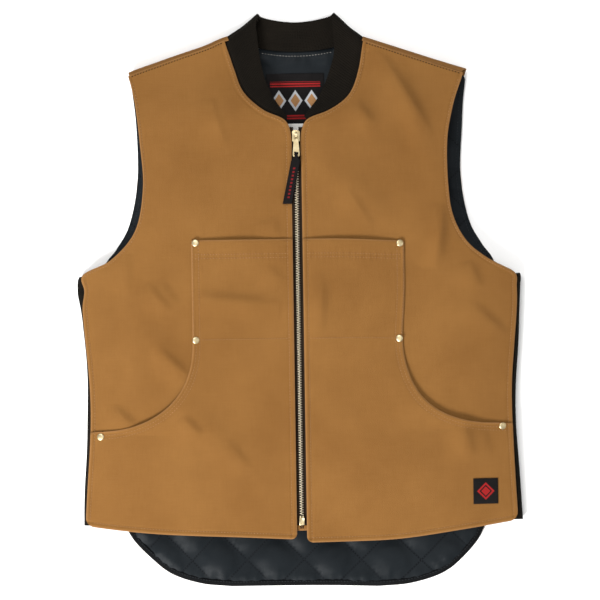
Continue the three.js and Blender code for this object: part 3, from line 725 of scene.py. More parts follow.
def swell(x, y):
    slow = [noise.noise((a / 95.0, b / 140.0, 0.0)) for a, b in zip(x, y)]
    small = [noise.noise((a / 34.0, b / 46.0, 5.0)) for a, b in zip(x, y)]
    return 1.1 * np.array(slow) + 0.4 * np.array(small)


print("front:", len(FRONT_SECTIONS), "sections,", len(FOLDS), "folds,", len(CREASES), "creases")

# %% [markdown]
# A sewn edge has a relief of its own. The turned-in allowance makes a plump ridge, the row of stitches
# pulls a groove beside it, and the thread's pull leaves small puckers along the groove. `sewn_edge` adds
# the three, from the distance to the edge and the distance along it.

# %% Sewn edges
def sewn_edge(gap, run, stitch):
    ridge = 0.45 * np.exp(-(((gap - 0.45 * stitch) / (0.5 * stitch)) ** 2))
    groove = -0.5 * np.exp(-(((gap - stitch) / 1.5) ** 2))
    puckers = np.sin(run * 0.74 + 2.0 * np.sin(run / 31.0)) * np.exp(-(((gap - stitch) / 5.0) ** 2))
    rim = -0.5 * np.exp(-((gap / 1.2) ** 2))
    return ridge + groove + 0.22 * puckers + rim


FRONT_STEPS = 281
_, zip_edge, _ = inked(front_inner, 0, LAST, FRONT_STEPS)
_, side_edge, _ = inked(front_outer, 0, LAST, FRONT_STEPS)
STITCH = {"zip": 6.5, "hem": 6.0, "side": 5.6, "armhole": 3.4, "neck": 4.2}


def eased(spots, u, v):
    """Cloth ruled straight between its edges, bowed out at the hem and let out over the shoulder."""
    bow = HEM_BOW * 4.0 * u * (1.0 - u) * np.maximum(0.0, 1.0 - v)
    lap = lerp(LAP["neck"], LAP["tip"], u) * smoothstep(v, LAST - 0.7, float(LAST))
    return spots + np.outer(lap, shoulder_out) - np.outer(bow, (0.0, 1.0))


share = np.linspace(0.0, 1.0, 25)
hem_edge = eased(np.linspace(zip_edge[0], side_edge[0], 25), share, 0.0 * share)
shoulder_edge = eased(np.linspace(zip_edge[-1], side_edge[-1], 25), share, 0.0 * share + LAST)


def front_relief(x, y):
    """Height of the front canvas without its folds, and the distance to its nearest edge."""
    spots = np.column_stack([np.abs(x), y])
    zip_gap, zip_run = nearest_on(zip_edge, spots)
    hem_gap, hem_run = nearest_on(hem_edge, spots)
    side_gap, side_run = nearest_on(side_edge, spots)
    top_gap, _ = nearest_on(shoulder_edge, spots)
    edge = np.minimum.reduce([zip_gap, hem_gap, side_gap, top_gap])
    side_stitch = lerp(STITCH["side"], STITCH["armhole"], smoothstep(y, 20.0, 70.0))
    relief = sewn_edge(zip_gap, zip_run, STITCH["zip"]) + sewn_edge(hem_gap, hem_run, STITCH["hem"])
    relief += sewn_edge(side_gap, side_run, side_stitch)
    calm = 0.2 + 0.8 * smoothstep(edge, 0.0, 45.0)
    return front_height(x, y) + swell(x, y) * calm + relief, edge


def round_corner(spots, corner, first, second, radius):
    """Turns the square corner between two edge directions into a round one."""
    frame_of = np.column_stack([first / np.linalg.norm(first), second / np.linalg.norm(second)])
    local = (spots - corner) @ np.linalg.inv(frame_of).T
    inside = np.all(local < radius, axis=1)
    p, q = ((radius - local[inside]) / radius).T
    disc = np.column_stack([p * np.sqrt(1.0 - q * q / 2.0), q * np.sqrt(1.0 - p * p / 2.0)])
    spots[inside] = corner + (radius * (1.0 - disc)) @ frame_of.T
    return spots


def round_hem(spots):
    low, far = zip_edge[0], side_edge[0]
    spots = round_corner(spots, low, far - low, zip_edge[8] - low, 8.0)
    return round_corner(spots, far, low - far, side_edge[8] - far, 11.0)


print("hem corners rounded, stitch rows at", STITCH)

# %% [markdown]
# ## Front panels
#
# Each front is one piece of duck canvas, cut straight along the zip, hollowed at the neck and the armhole.
# The grid is ruled from the zip edge to the outer edge, section by section. Its rows are spaced evenly
# along the panel's middle, so no part of the cloth is finer than another.

# %% Front panels
def paced_sections(step):
    middle = lambda t: (front_inner(t) + front_outer(t)) / 2.0
    steps, _, run = inked(middle, 0, LAST, FRONT_STEPS)
    return np.interp(paces(run[-1], step), run, steps)


def front_panel(side):
    def place(u, v):
        inner, outer = front_inner(v), front_outer(v)
        spots = eased(round_hem(inner + u[:, None] * (outer - inner)), u, v)
        x, y = side * spots[:, 0], spots[:, 1]
        z, edge = front_relief(x, y)
        z = z + fold_rise("canvas", x, y) + crease_rise("canvas", x, y) * smoothstep(edge, 0.0, 14.0)
        return np.column_stack([x + FRONT_SHIFT, y, z]), np.column_stack([x, y]), edge

    width = FRONT_SECTIONS["hem"][2] - FRONT_SECTIONS["hem"][0]
    return sheet_mesh("front_panel", paces(width, 3.2) / width, paced_sections(3.2), place, side < 0)


SIDES = {"left": -1, "right": 1}
panels = {}
for name, side in SIDES.items():
    panel = piece(f"front_panel_{name}", front_panel(side), duck_canvas, "canvas", f"front_canvas_{name}")
    thicken(panel, CANVAS)
    panels[name] = panel
print("front panels:", [len(p.data.polygons) for p in panels.values()], "faces")

# %% [markdown]
# ## Pocket fronts
#
# A second layer of canvas covers the lower half of each front. It is sewn in at the zip, the hem and the
# side. It is left open along its straight top, the chest pocket, and along its curved side edge, the hand
# pocket. The free edges are turned and sewn with two rows, and both mouths stand slightly open, so the grid
# lifts there. Rows run out from the zip edge, and their height at the zip names them.

# %% Pocket fronts
POCKET = {"mouth_x": 278.0, "corner_x": 139.0, "corner_y": -51.0, "top_y": 80.0}
MOUTH = {"left": {"y": -169.0, "fullness": 0.85}, "right": {"y": -165.0, "fullness": 0.75}}
MOUTH_END = -170.0
MOUTH_STITCH = (5.0, 9.5)
TOP_HEM = (19.0, 24.0)
CHEST_GAPE = 2.5
HAND_GAPE = {"left": 3.2, "right": 3.4}
section_steps, inner_line, _ = inked(front_inner, 0, LAST, FRONT_STEPS)


def mouth_turn(row):
    """The angle along the rounded corner of the hand pocket, for a row's height at the zip."""
    share = (row - LEVEL["pocket_floor"]) / (POCKET["corner_y"] - LEVEL["pocket_floor"])
    return np.clip(share, 0.0, 1.0) * math.pi / 2.0


def section_at(row):
    return np.interp(row, inner_line[:, 1], section_steps)


def pocket_outer(row, name):
    turn = mouth_turn(row)
    fullness = MOUTH[name]["fullness"]
    mouth_x = lerp(POCKET["mouth_x"], POCKET["corner_x"], np.sin(turn) ** fullness)
    mouth_y = lerp(POCKET["corner_y"], MOUTH[name]["y"], np.clip(np.cos(turn), 0.0, 1.0) ** fullness)
    mouth = np.column_stack([mouth_x, np.where(row > POCKET["corner_y"], row, mouth_y)])
    below = front_outer(section_at(row))
    floor_row = LEVEL["pocket_floor"]
    below[:, 1] += (MOUTH[name]["y"] - MOUTH_END) * smoothstep(row, floor_row - 45.0, floor_row)
    return np.where((row < LEVEL["pocket_floor"])[:, None], below, mouth)


top_edge = np.array([[zip_edge[0][0], POCKET["top_y"]], [POCKET["corner_x"], POCKET["top_y"]]])


def pocket_front(name, side):
    free_edge = pocket_outer(np.linspace(LEVEL["pocket_floor"], POCKET["top_y"], 120), name)

    def place(u, row):
        inner = np.column_stack([np.full_like(row, zip_edge[0][0]), row])
        ruled = inner + u[:, None] * (pocket_outer(row, name) - inner)
        spots = eased(round_hem(ruled), u, section_at(row))
        x, y = side * spots[:, 0], spots[:, 1]
        z, edge = front_relief(x, y)
        along_mouth = mouth_turn(row) * 2.0 / math.pi
        open_hand = np.sin(math.pi * along_mouth**0.7) * smoothstep(u, 0.45, 1.0)
        lip = np.interp(row, [-10.0, 32.0, 62.0, POCKET["top_y"]], [0.0, 0.2, 0.6, 1.0])
        open_chest = lip * np.sin(math.pi * u)
        free_gap, free_run = nearest_on(free_edge, spots)
        top_gap, top_run = nearest_on(top_edge, spots)
        z = z + GAP + CANVAS + fold_rise("pocket", x, y) + crease_rise("pocket", x, y)
        z += HAND_GAPE[name] * open_hand + CHEST_GAPE * open_chest
        for stitch in MOUTH_STITCH:
            z += 0.6 * sewn_edge(free_gap, free_run, stitch)
        for stitch in TOP_HEM:
            z += 0.5 * sewn_edge(top_gap, top_run, stitch)
        edge = np.minimum.reduce([edge, free_gap, top_gap])
        return np.column_stack([x + FRONT_SHIFT, y, z]), np.column_stack([x, y]), edge

    width = FRONT_SECTIONS["hem"][2] - FRONT_SECTIONS["hem"][0]
    height = POCKET["top_y"] - LEVEL["hem"]
    rows = LEVEL["hem"] + paces(height, 3.2)
    return sheet_mesh("pocket_front", paces(width, 3.2) / width, rows, place, side < 0)


for name, side in SIDES.items():
    mesh = pocket_front(name, side)
    pocket = piece(f"pocket_layer_{name}", mesh, duck_canvas, "canvas", f"pocket_front_{name}")
    thicken(pocket, CANVAS)
    panels[f"pocket_{name}"] = pocket
print("pocket fronts:", [len(p.data.polygons) for p in panels.values()], "faces")

# %% [markdown]
# ## The back
#
# The canvas back is one flat panel, longer than the front, with a rounded drop tail. It lies outer side
# down on the floor and is rolled over both shoulders to meet the fronts, so each shoulder is a strip of the
# same cloth bent round a half circle. The grid's rows follow the side curve and bend up to the neck line.

# %% Back panel
BACK_SECTIONS = [
    (96, -375), (138, -370.5), (179, -357), (203.5, -338), (228, -310), (236, -287), (233.5, -170),
    (232.5, -105), (237, -30), (257, 46), (240.5, 71), (225, 98), (212, 160), (215, 235), (219, 288.6),
]
CANVAS_INSET = 2.5
TAIL_SECTIONS = 5
NECK = {"y": 326.0, "rise": 17.0}
back_side = curve_through(BACK_SECTIONS)
BACK_LAST = len(BACK_SECTIONS) - 1


def back_top(x):
    neck = NECK["y"] + NECK["rise"] * (x / SHOULDER["neck"][0]) ** 2
    slope = shoulder_run[1] / shoulder_run[0]
    fold = SHOULDER["neck"][1] + (np.abs(x) - SHOULDER["neck"][0]) * slope
    return np.minimum(neck, fold - ROLL / shoulder_out[1])


def back_panel():
    steps, line, run = inked(back_side, 0, BACK_LAST, 200)
    rows = np.interp(paces(run[-1], 6.0), run, steps)

    def place(u, v):
        edge_spot = back_side(v)
        x = u * (edge_spot[:, 0] - CANVAS_INSET * smoothstep(v, TAIL_SECTIONS, TAIL_SECTIONS + 1.0))
        bend = smoothstep(v, BACK_LAST - 3.0, float(BACK_LAST))
        y = edge_spot[:, 1] + (back_top(x) - 3.0 - edge_spot[:, 1]) * bend
        z = np.full_like(x, CANVAS)
        gap, _ = nearest_on(line, np.column_stack([np.abs(x), y]))
        return np.column_stack([x, y, z]), np.column_stack([x, y]), gap

    return sheet_mesh("back_panel", paces(470.0, 6.0) / 235.0 - 1.0, rows, place)


back = piece("back_panel", back_panel(), duck_canvas, "canvas", "back_canvas")
thicken(back, CANVAS)
print("back panel:", len(back.data.polygons), "faces, shoulder roll radius", round(ROLL, 1), "mm")

# %% [markdown]
# The strip over each shoulder is a sheet bent round a tube. The lower half of the tube is squeezed by the
# cloth's thickness, because the wall grows outwards and the vest has to stay above the floor. The end at the
# right armhole is cut aslant, so the dark lining inside it shows.

# %% Shoulder rolls
ROLL_END = math.radians(60)
ROLL_CLOTH = CANVAS - 0.2
SLANT = {1: 4.0, -1: 0.0}


def shoulder_roll(side):
    start = SHOULDER["neck"] + np.array([-2.2, 0.75])
    end = SHOULDER["tip"] + np.array([-0.6, 0.2])
    length = np.linalg.norm(end - start)
    last = ROLL * (ROLL_END + math.pi / 2.0)

    def place(u, run):
        turn = run / ROLL - math.pi / 2.0
        cut = u * (1.0 - SLANT[side] / length * smoothstep(turn, 0.0, ROLL_END))
        fold = start + (cut / length)[:, None] * (end - start) - shoulder_out * ROLL
        spot = fold + np.outer(ROLL * np.cos(turn), shoulder_out)
        tucked = -0.9 * smoothstep(run, 0.84 * last, last)
        tucked += 0.15 * np.sin(u * 0.7) * smoothstep(run, 0.5 * last, last)
        under = ROLL_CLOTH * (turn < 0.0)
        z = ROLL + (ROLL - under) * np.sin(turn) + tucked
        gap = np.minimum(last - run, np.minimum(u, length - u))
        return np.column_stack([side * spot[:, 0], spot[:, 1], z]), np.column_stack([u, run]), gap

    columns, rows = np.linspace(0.0, length, 60), np.linspace(0.0, last, 32)
    return sheet_mesh("shoulder_roll", columns, rows, place, side < 0)


for name, side in SIDES.items():
    roll = piece(f"shoulder_roll_{name}", shoulder_roll(side), duck_canvas, "canvas")
    thicken(roll, ROLL_CLOTH, 0.3)
    panels[f"shoulder_{name}"] = roll
print("shoulder rolls: bent through", round(math.degrees(ROLL_END)) + 90, "degrees")

# %% [markdown]
# ## Quilted linings
#
# Quilting is two cloths with wadding between them, sewn together along crossing lines. Between the lines
# the wadding swells. That swelling is what a cloth simulation does well, so one flat roll of lining is
# simulated, as it would come from the mill: its points on the stitch lines are pinned, a pressure lifts
# the rest, and a little spare cloth gives the wrinkles that run into each seam. The grid's cells divide a
# diamond evenly, so the stitch lines pass exactly through its points. The linings are then cut from the roll.

# %% Quilted roll
CELL = DIAMOND / 16.0
ROLL_CELLS = (118, 160)
ROLL_LOW = (-59 * CELL, STITCH_LEVEL - 8 * CELL)
PUFF = 6.0
FRAMES = 20


def quilt_lines(x, y):
    """How far across its diamond a spot is, in both directions; whole numbers are stitch lines."""
    return (x + y - STITCH_LEVEL) / DIAMOND, (x - y + STITCH_LEVEL) / DIAMOND


def quilted_roll():
    columns = ROLL_LOW[0] + CELL * np.arange(ROLL_CELLS[0] + 1)
    rows = ROLL_LOW[1] + CELL * np.arange(ROLL_CELLS[1] + 1)

    def place(x, y):
        p, q = quilt_lines(x, y)
        bulge = np.sqrt(np.abs(np.sin(math.pi * p) * np.sin(math.pi * q)))
        uneven = np.array([1.0 + 0.5 * noise.noise((a / 40.0, b / 40.0, 9.0)) for a, b in zip(x, y)])
        z = 0.8 * PUFF * uneven * bulge
        return np.column_stack([x, y, z]), np.column_stack([x, y]), np.zeros_like(x)

    return sheet_mesh("quilted_roll", columns, rows, place)


def puff_up(mesh):
    """Lets the roll swell between its stitch lines, and gives its points afterwards."""
    roll = bpy.data.objects.new("quilted_roll", mesh)
    scene.collection.objects.link(roll)
    spots = read_points(mesh) / MM
    p, q = quilt_lines(spots[:, 0], spots[:, 1])
    sewn = np.minimum(np.abs(p - np.round(p)), np.abs(q - np.round(q))) < 0.01
    roll.vertex_groups.new(name="sewn").add(np.nonzero(sewn)[0].tolist(), 1.0, "REPLACE")
    cloth = roll.modifiers.new("quilting", "CLOTH")
    cloth.settings.quality = 6
    cloth.settings.mass = 0.1
    cloth.settings.tension_stiffness = 25.0
    cloth.settings.compression_stiffness = 15.0
    cloth.settings.shear_stiffness = 8.0
    cloth.settings.bending_stiffness = 0.25
    cloth.settings.vertex_group_mass = "sewn"
    cloth.settings.use_pressure = True
    cloth.settings.uniform_pressure_force = 6.0
    cloth.settings.shrink_min = -0.02
    cloth.settings.effector_weights.gravity = 0.0
    cloth.collision_settings.use_collision = False
    cloth.point_cache.frame_end = FRAMES
    for step in range(1, FRAMES + 1):
        scene.frame_set(step)
    swollen = roll.evaluated_get(bpy.context.evaluated_depsgraph_get())
    after = read_points(swollen.data) / MM
    scene.frame_set(1)
    bpy.data.objects.remove(roll)
    return after


roll_mesh = quilted_roll()
roll_spots = read_points(roll_mesh) / MM
roll_spots = puff_up(roll_mesh)
top_limit = np.percentile(roll_spots[:, 2], 97)
roll_spots[:, 2] = np.clip(roll_spots[:, 2] / top_limit, -0.1, 1.15) * PUFF
print("quilted roll:", len(roll_spots), "points, puffs", round(float(np.median(roll_spots[:, 2])), 2), "mm")

# %% [markdown]
# To cut a lining, the faces outside its outline are deleted from a copy of the roll and the ragged border
# is moved onto the outline, which is what a cutter's knife does. Near the cut edge the padding thins out and
# gathers in small wrinkles, because the seam there presses it flat.

# %% Cutting a lining from the roll
def inside(loop, spots):
    """True for the spots that lie inside a closed loop of points."""
    hit = np.zeros(len(spots), bool)
    x, y = spots.T
    for a, b in zip(loop, np.roll(loop, -1, axis=0)):
        crosses = (a[1] > y) != (b[1] > y)
        if crosses.any():
            hit ^= crosses & (x < a[0] + (y - a[1]) / (b[1] - a[1] + 1e-12) * (b[0] - a[0]))
    return hit


def drawn_in(loop, margin):
    along = unit(np.roll(loop, -1, axis=0) - np.roll(loop, 1, axis=0))
    return loop + margin * np.column_stack([-along[:, 1], along[:, 0]])


def cut_lining(name, loop, lie, turned=False):
    """A lining cut to a loop; lie gives the height for places on the plan and the padding's height."""
    bm = bmesh.new()
    bm.from_mesh(roll_mesh)
    middles = np.array([face.calc_center_median()[:2] for face in bm.faces]) / MM
    keep = inside(loop, middles)
    outside = [face for face, kept in zip(bm.faces, keep) if not kept]
    bmesh.ops.delete(bm, geom=outside, context="FACES")
    bm.verts.index_update()
    border = np.array([v.is_boundary for v in bm.verts])
    flat = np.array([v.co[:2] for v in bm.verts]) / MM
    roll_plan = np.round(read_points(roll_mesh)[:, :2] / MM, 2).tolist()
    index = {tuple(spot): i for i, spot in enumerate(roll_plan)}
    source = [index[tuple(spot)] for spot in np.round(flat, 2).tolist()]
    mesh = mesh_from(bm, name)
    spots = roll_spots[source].copy()
    ring = np.vstack([loop, loop[:1]])
    spots[border, :2] = on_line(ring, flat[border])
    gap, run = nearest_on(ring, spots[:, :2])
    gathers = 0.9 * np.sin(run * 0.45 + 3.0 * np.sin(run / 37.0)) * np.exp(-(((gap - 9.0) / 7.0) ** 2))
    padding = spots[:, 2] * smoothstep(gap, 0.0, 16.0) + gathers
    spots[:, 2] = lie(spots[:, 0], spots[:, 1], padding)
    write_points(mesh, spots * MM)
    mesh.attributes["edge"].data.foreach_set("value", (gap * MM).astype(np.float32))
    if turned:
        mesh.flip_normals()
    return mesh


def on_line(line, spots):
    """The nearest places on a line drawn through points."""
    _, run = nearest_on(line, spots)
    steps = run_along(line)
    return np.column_stack([np.interp(run, steps, line[:, i]) for i in range(2)])


# %% [markdown]
# The back lining lies on the back canvas and climbs into the shoulder rolls. The front linings hang under the
# front canvas with their puffs down, so their faces are turned. Label and tag are sewn through the back
# lining, which presses its padding flat under them.

# %% Linings of back and fronts
LINING_LOW = CANVAS + GAP
LINING_SKIN = 1.1
LINING_MARGIN = 20.0
ROLL_LINED = 8.0


def back_loop(margin):
    right = back_side(np.linspace(0, BACK_LAST, 150))
    half = BACK_SECTIONS[-1][0]
    top_x = np.linspace(half, -half, 60)[1:-1]
    top = np.column_stack([top_x, back_top(top_x) + ROLL_LINED * smoothstep(np.abs(top_x), 96.0, 112.0)])
    left = right[::-1] * np.array([-1.0, 1.0])
    loop = drawn_in(np.vstack([right, top, left]), margin)
    neck = (loop[:, 1] > 300.0) & (np.abs(loop[:, 0]) < 84.0)
    loop[neck, 1] = back_top(loop[neck, 0]) + 0.8
    return loop


def front_lining_loop(side):
    steps = np.linspace(0.3, LAST - 0.7, 120)
    outer = front_outer(steps) - np.array([LINING_MARGIN, 0.0])
    inner = front_inner(steps) + np.array([LINING_MARGIN, 0.0])
    loop = np.vstack([outer, inner[::-1]]) * np.array([side, 1.0])
    return loop[::side]


NECK_LABEL = {"x": -2.0, "y": 266.0, "width": 76.0, "height": 64.0}
SIZE_TAG = {"x": -2.0, "y": 214.0, "width": 30.0, "height": 36.0}


def pressed(x, y):
    """Share of the padding's height that is left: the label and the tag are sewn flat."""
    left = np.ones_like(x)
    for sewn in (NECK_LABEL, SIZE_TAG):
        aside = np.abs(x - sewn["x"]) - sewn["width"] / 2.0
        above = np.abs(y - sewn["y"]) - sewn["height"] / 2.0
        left = np.minimum(left, 0.35 + 0.65 * smoothstep(np.maximum(aside, above), 2.0, 22.0))
    return left


def back_lie(x, y, rise):
    """Flat on the back canvas, and up the inner wall of the shoulder rolls."""
    inward = (SHOULDER["neck"] - np.column_stack([np.abs(x), y])) @ shoulder_out
    inner = ROLL - CANVAS - GAP
    wall = ROLL - np.sqrt(np.maximum(inner**2 - np.maximum(ROLL - inward, 0.0) ** 2, 0.0))
    flat = LINING_LOW + LINING_SKIN + rise * pressed(x, y)
    return np.where(np.abs(x) > 96.0, np.maximum(flat, wall + LINING_SKIN), flat)


back_lining = cut_lining("back_quilting", back_loop(0.3), back_lie)
back_pad = piece("back_quilting", back_lining, lining_nylon, "quilted_lining", "back_lining")
thicken(back_pad, LINING_SKIN, 0)
for name, side in SIDES.items():
    lie = lambda x, y, rise: front_height(x, y) - CANVAS - 3.0 * GAP - LINING_SKIN - 0.6 * rise
    mesh = cut_lining("front_quilting", front_lining_loop(side), lie, turned=True)
    mesh.transform(Matrix.Translation((FRONT_SHIFT * MM, 0.0, 0.0)))
    pad = piece(f"front_quilting_{name}", mesh, lining_nylon, "quilted_lining", f"front_lining_{name}")
    thicken(pad, LINING_SKIN, 0)
print("linings: back", len(back_lining.polygons), "faces, each front", len(mesh.polygons))

# %% [markdown]
# The tail's raw edge is bound with a black tape folded round it. The tape is a sheet again: its section is
# a flat U, open towards the vest, carried along the curve of the tail.

# %% Tail binding
BINDING = [
    (7.0, 4.2), (6.3, 4.9), (3.2, 5.3), (0.9, 5.0), (-0.5, 3.6), (0.7, 2.2), (3.2, 1.9), (6.2, 1.9),
]
TAPE = 0.7


def tail_line():
    half = back_side(np.linspace(TAIL_SECTIONS, 0, 110))
    bottom = np.column_stack([np.linspace(half[-1][0], -half[-1][0], 70), np.full(70, half[-1][1])])[1:-1]
    return np.vstack([half, bottom, half[::-1] * np.array([-1.0, 1.0])])


tail = tail_line()
tail_run = run_along(tail)
tail_along = unit(np.gradient(tail, axis=0))
tail_inward = np.column_stack([tail_along[:, 1], -tail_along[:, 0]])


def at_tail(run, inward):
    spot = np.column_stack([np.interp(run, tail_run, tail[:, i]) for i in range(2)])
    aim = np.column_stack([np.interp(run, tail_run, tail_inward[:, i]) for i in range(2)])
    return spot + np.asarray(inward)[:, None] * aim


def binding_mesh():
    section = curve_through(BINDING)

    def place(u, run):
        inward, z = section(u).T
        pucker = 0.16 * np.sin(run * 0.9) * np.exp(-(((inward - 5.0) / 2.0) ** 2))
        xy = at_tail(run, inward)
        return np.column_stack([xy, z + pucker]), np.column_stack([run, u * 3.0]), np.abs(u - 3.5)

    columns = np.linspace(0, len(BINDING) - 1, 25)
    return sheet_mesh("binding", columns, np.arange(0, tail_run[-1], 3.0), place, True)


binding = piece("tail_tape", binding_mesh(), black_weave, "black_trim", "tail_binding")
thicken(binding, TAPE, 0)
print("tail tape:", round(float(tail_run[-1])), "mm long")

# %% [markdown]
# ## Rib knit
#
# Rib knit stands up in ridges, with a narrow groove between each two. The ridges show as a comb in the
# outline, so they are modelled, six columns of the grid to a rib, and only the loops are left to the bump.
# The side panels are strips that join front and back: each is bent round the vest's side in a half circle.

# %% Side panels
SIDE_RIB = {
    "proud": 4.5, "under_front": 18.0, "under_back": 47.0, "climb": 0.55, "height": 15.9, "wall": 2.4,
}
RIB_DEPTH = 0.45


def rib_groove(run):
    """Depth of the knit's grooves at a distance across the ribs."""
    return RIB_DEPTH * (1.0 - np.sqrt(np.abs(np.sin(math.pi * run / RIB_PITCH))))


def side_rib(side):
    bend = SIDE_RIB["height"] / 2.0
    level = SIDE_RIB["under_front"] - bend
    last = level + math.pi * bend + SIDE_RIB["under_back"] - bend
    _, edge, edge_run = inked(front_outer, 0, SECTION["underarm"], 120)

    def place(run, along):
        outside = np.interp(along, edge_run, edge[:, 0]) + SIDE_RIB["proud"]
        turn = np.clip((run - level) / bend, 0.0, math.pi)
        flat = np.maximum(level - run, 0.0) + np.maximum(run - level - math.pi * bend, 0.0)
        radius = bend - rib_groove(run)
        inward = bend + flat - radius * np.sin(turn)
        z = bend + radius * np.cos(turn)
        near_arm = smoothstep(along / edge_run[-1], 0.75, 1.0)
        climb = SIDE_RIB["climb"] * near_arm * np.where(z < bend, flat, 0.0)
        y = np.interp(along, edge_run, edge[:, 1]) + climb
        x = outside - inward - 0.5 * np.sin(turn) * (1.0 + np.sin(along / 23.0 + 2.0 * side))
        return np.column_stack([side * x, y, z]), np.column_stack([run, along]), np.minimum(run, last - run)

    columns, length = np.arange(0.0, last, RIB_PITCH / 6.0), edge_run[-1]
    climbed = SIDE_RIB["climb"] * (SIDE_RIB["under_back"] - bend)
    mesh = sheet_mesh("side_rib", columns, paces(length, 5.0, 1.2, 4.8), place, side < 0)
    return mesh, last, length + climbed


for name, side in SIDES.items():
    mesh, width, length = side_rib(side)
    knit_side = piece(f"knit_side_{name}", mesh, rib_knit, "rib_knit", f"side_rib_{name}")
    thicken(knit_side, SIDE_RIB["wall"], 0)
print("side panels:", round(width / RIB_PITCH), "ribs,", len(mesh.polygons), "faces each")

# %% [markdown]
# The collar is one band of rib knit, doubled over, that stands round the neck. Lying down it shows its outer
# side in front and its inner side behind, and it turns over in a tight bend at both shoulders. It is described
# by stations along the band: a point on the seam, a point on the free edge and the direction its outer side
# faces. A smooth curve through the stations carries the ribs.

# %% Collar
COLLAR = 4.5
COLLAR_EDGE = [(11, 241, 26), (27, 263, 21), (40, 292, 16.5), (47, 328, 14), (50, 365, 12)]
COLLAR_TOP = np.array([50.5, 377.5])
COLLAR_BACK = [(76, 43, 372), (40, 23, 367.5), (0, 0, 365.5)]
TUCK = 5.0
FLOOR_GAP = 0.1
UP = np.array([0.0, 0.0, 1.0])


def front_stations():
    edge = curve_through(COLLAR_EDGE)
    shift = np.array([FRONT_SHIFT, 0.0, 0.0])
    stations = []
    for t in np.linspace(0, len(COLLAR_EDGE) - 1, 9):
        x, y = front_inner(SECTION["neck start"] + t)
        seam = np.array([x, y, front_height(x, y) - COLLAR / 2.0])
        aim = (edge(t) - seam) * np.array([1.0, 1.0, 0.0])
        seam = seam + 2.0 * GAP * aim / np.linalg.norm(aim)
        stations.append((seam + shift, edge(t) + shift, UP))
    return stations


def fold_stations(seam_high, top_high):
    along = COLLAR_TOP - SHOULDER["neck"]
    along = along / np.linalg.norm(along)
    away = np.array([along[1], -along[0], 0.0])
    stations = []
    for angle in np.radians([60, 30, 0, -30, -60]):
        ends = []
        for spot, high in ((SHOULDER["neck"] + 2.0 * GAP * along, seam_high), (COLLAR_TOP, top_high)):
            radius = (high - COLLAR / 2.0) / 2.0
            inward = COLLAR / 2.0 + radius * (1.0 - math.cos(angle))
            z = COLLAR / 2.0 + radius * (1.0 + math.sin(angle))
            ends.append(np.array([*spot, z]) - inward * away)
        stations.append((*ends, away * math.cos(angle) + UP * math.sin(angle)))
    return stations


def back_stations():
    stations = []
    for seam_x, top_x, top_y in COLLAR_BACK:
        seam_y = NECK["y"] + NECK["rise"] * (seam_x / SHOULDER["neck"][0]) ** 2 + 2.0 * GAP
        low = COLLAR / 2.0
        stations.append((np.array([seam_x, seam_y, low]), np.array([top_x, top_y, low]), -UP))
    return stations


def collar_stations():
    half = front_stations()
    half += fold_stations(half[-1][0][2], half[-1][1][2]) + back_stations()
    other = []
    for seam, top, out in half[-2::-1]:
        shift = np.array([2.0 * FRONT_SHIFT if out[2] > 0.99 else 0.0, 0.0, 0.0])
        flip = np.array([-1.0, 1.0, 1.0])
        other.append((seam * flip + shift, top * flip + shift, out * flip))
    return half + other


def collar_mesh():
    stations = collar_stations()
    seam_curve = curve_through([s[0] for s in stations])
    top_curve = curve_through([s[1] for s in stations])
    outs = np.array([s[2] for s in stations])
    last = len(stations) - 1
    steps, _, run = inked(lambda t: (seam_curve(t) + top_curve(t)) / 2.0, 0, last, 1500)

    def place(u, along):
        t = np.interp(along, run, steps)
        seam, top = seam_curve(t), top_curve(t)
        out = unit(np.column_stack([np.interp(t, np.arange(last + 1), outs[:, i]) for i in range(3)]))
        length = np.linalg.norm(top - seam, axis=1)
        tucked = TUCK * smoothstep(out[:, 2], 0.3, 0.9)
        start = seam - (tucked / length)[:, None] * (top - seam)
        spot = start + u[:, None] * (top - start)
        ahead = u * (length + tucked) - tucked
        spot += out * (COLLAR / 2.0 - rib_groove(along))[:, None]
        spot[:, 2] -= (CANVAS + 0.6) * (tucked / TUCK) * (1.0 - smoothstep(ahead, -1.0, 6.0))
        spot[:, 2] = np.maximum(spot[:, 2], FLOOR_GAP)
        return spot, np.column_stack([along, u * length]), length * (1.0 - u)

    columns = np.arange(0.0, run[-1], RIB_PITCH / 6.0)
    return sheet_mesh("collar", np.linspace(0.0, 1.0, 15), columns, place, True), run[-1]


collar_cloth, collar_length = collar_mesh()
knit_collar = piece("knit_collar", collar_cloth, rib_knit, "rib_knit", "collar")
thicken(knit_collar, COLLAR - 0.4, 1.5, 4)
print("collar:", round(collar_length / RIB_PITCH), "ribs,", len(collar_cloth.polygons), "faces")

# %% [markdown]
# ## The zip
#
# A brass zip has two woven tapes, each with a cord along its edge, and teeth clamped on the cords. Closed, the
# teeth of the two sides stand in turn, each with its head in the gap between two others. Each tooth is a cube
# with a lower head; all of them are bevelled at once, which is cheaper than bevelling one by one.

# %% Zip tapes
ZIP = {"low": -299.0, "high": 226.0, "half": 15.0, "tape": 1.0, "pitch": 3.2, "chain": 2.6}
CHAIN = {"low": -280.5, "high": 208.0}


def tape_top(y):
    return front_height(0.0 * y, y) - CANVAS - GAP


def zip_tape(side):
    def place(u, y):
        cord_x = 0.4 + 3.0 * smoothstep(y, 206.0, 217.0)
        x = lerp(cord_x, ZIP["half"], u)
        cord = 0.35 * np.exp(-(((x - cord_x - 0.8) / 0.7) ** 2))
        spots = np.column_stack([side * x + FRONT_SHIFT, y, tape_top(y) + cord])
        return spots, np.column_stack([x, y]), x - cord_x

    rows = np.arange(ZIP["low"], ZIP["high"] + 1, 5)
    return sheet_mesh("zip_tape", np.linspace(0.0, 1.0, 22) ** 1.5, rows, place, side < 0)


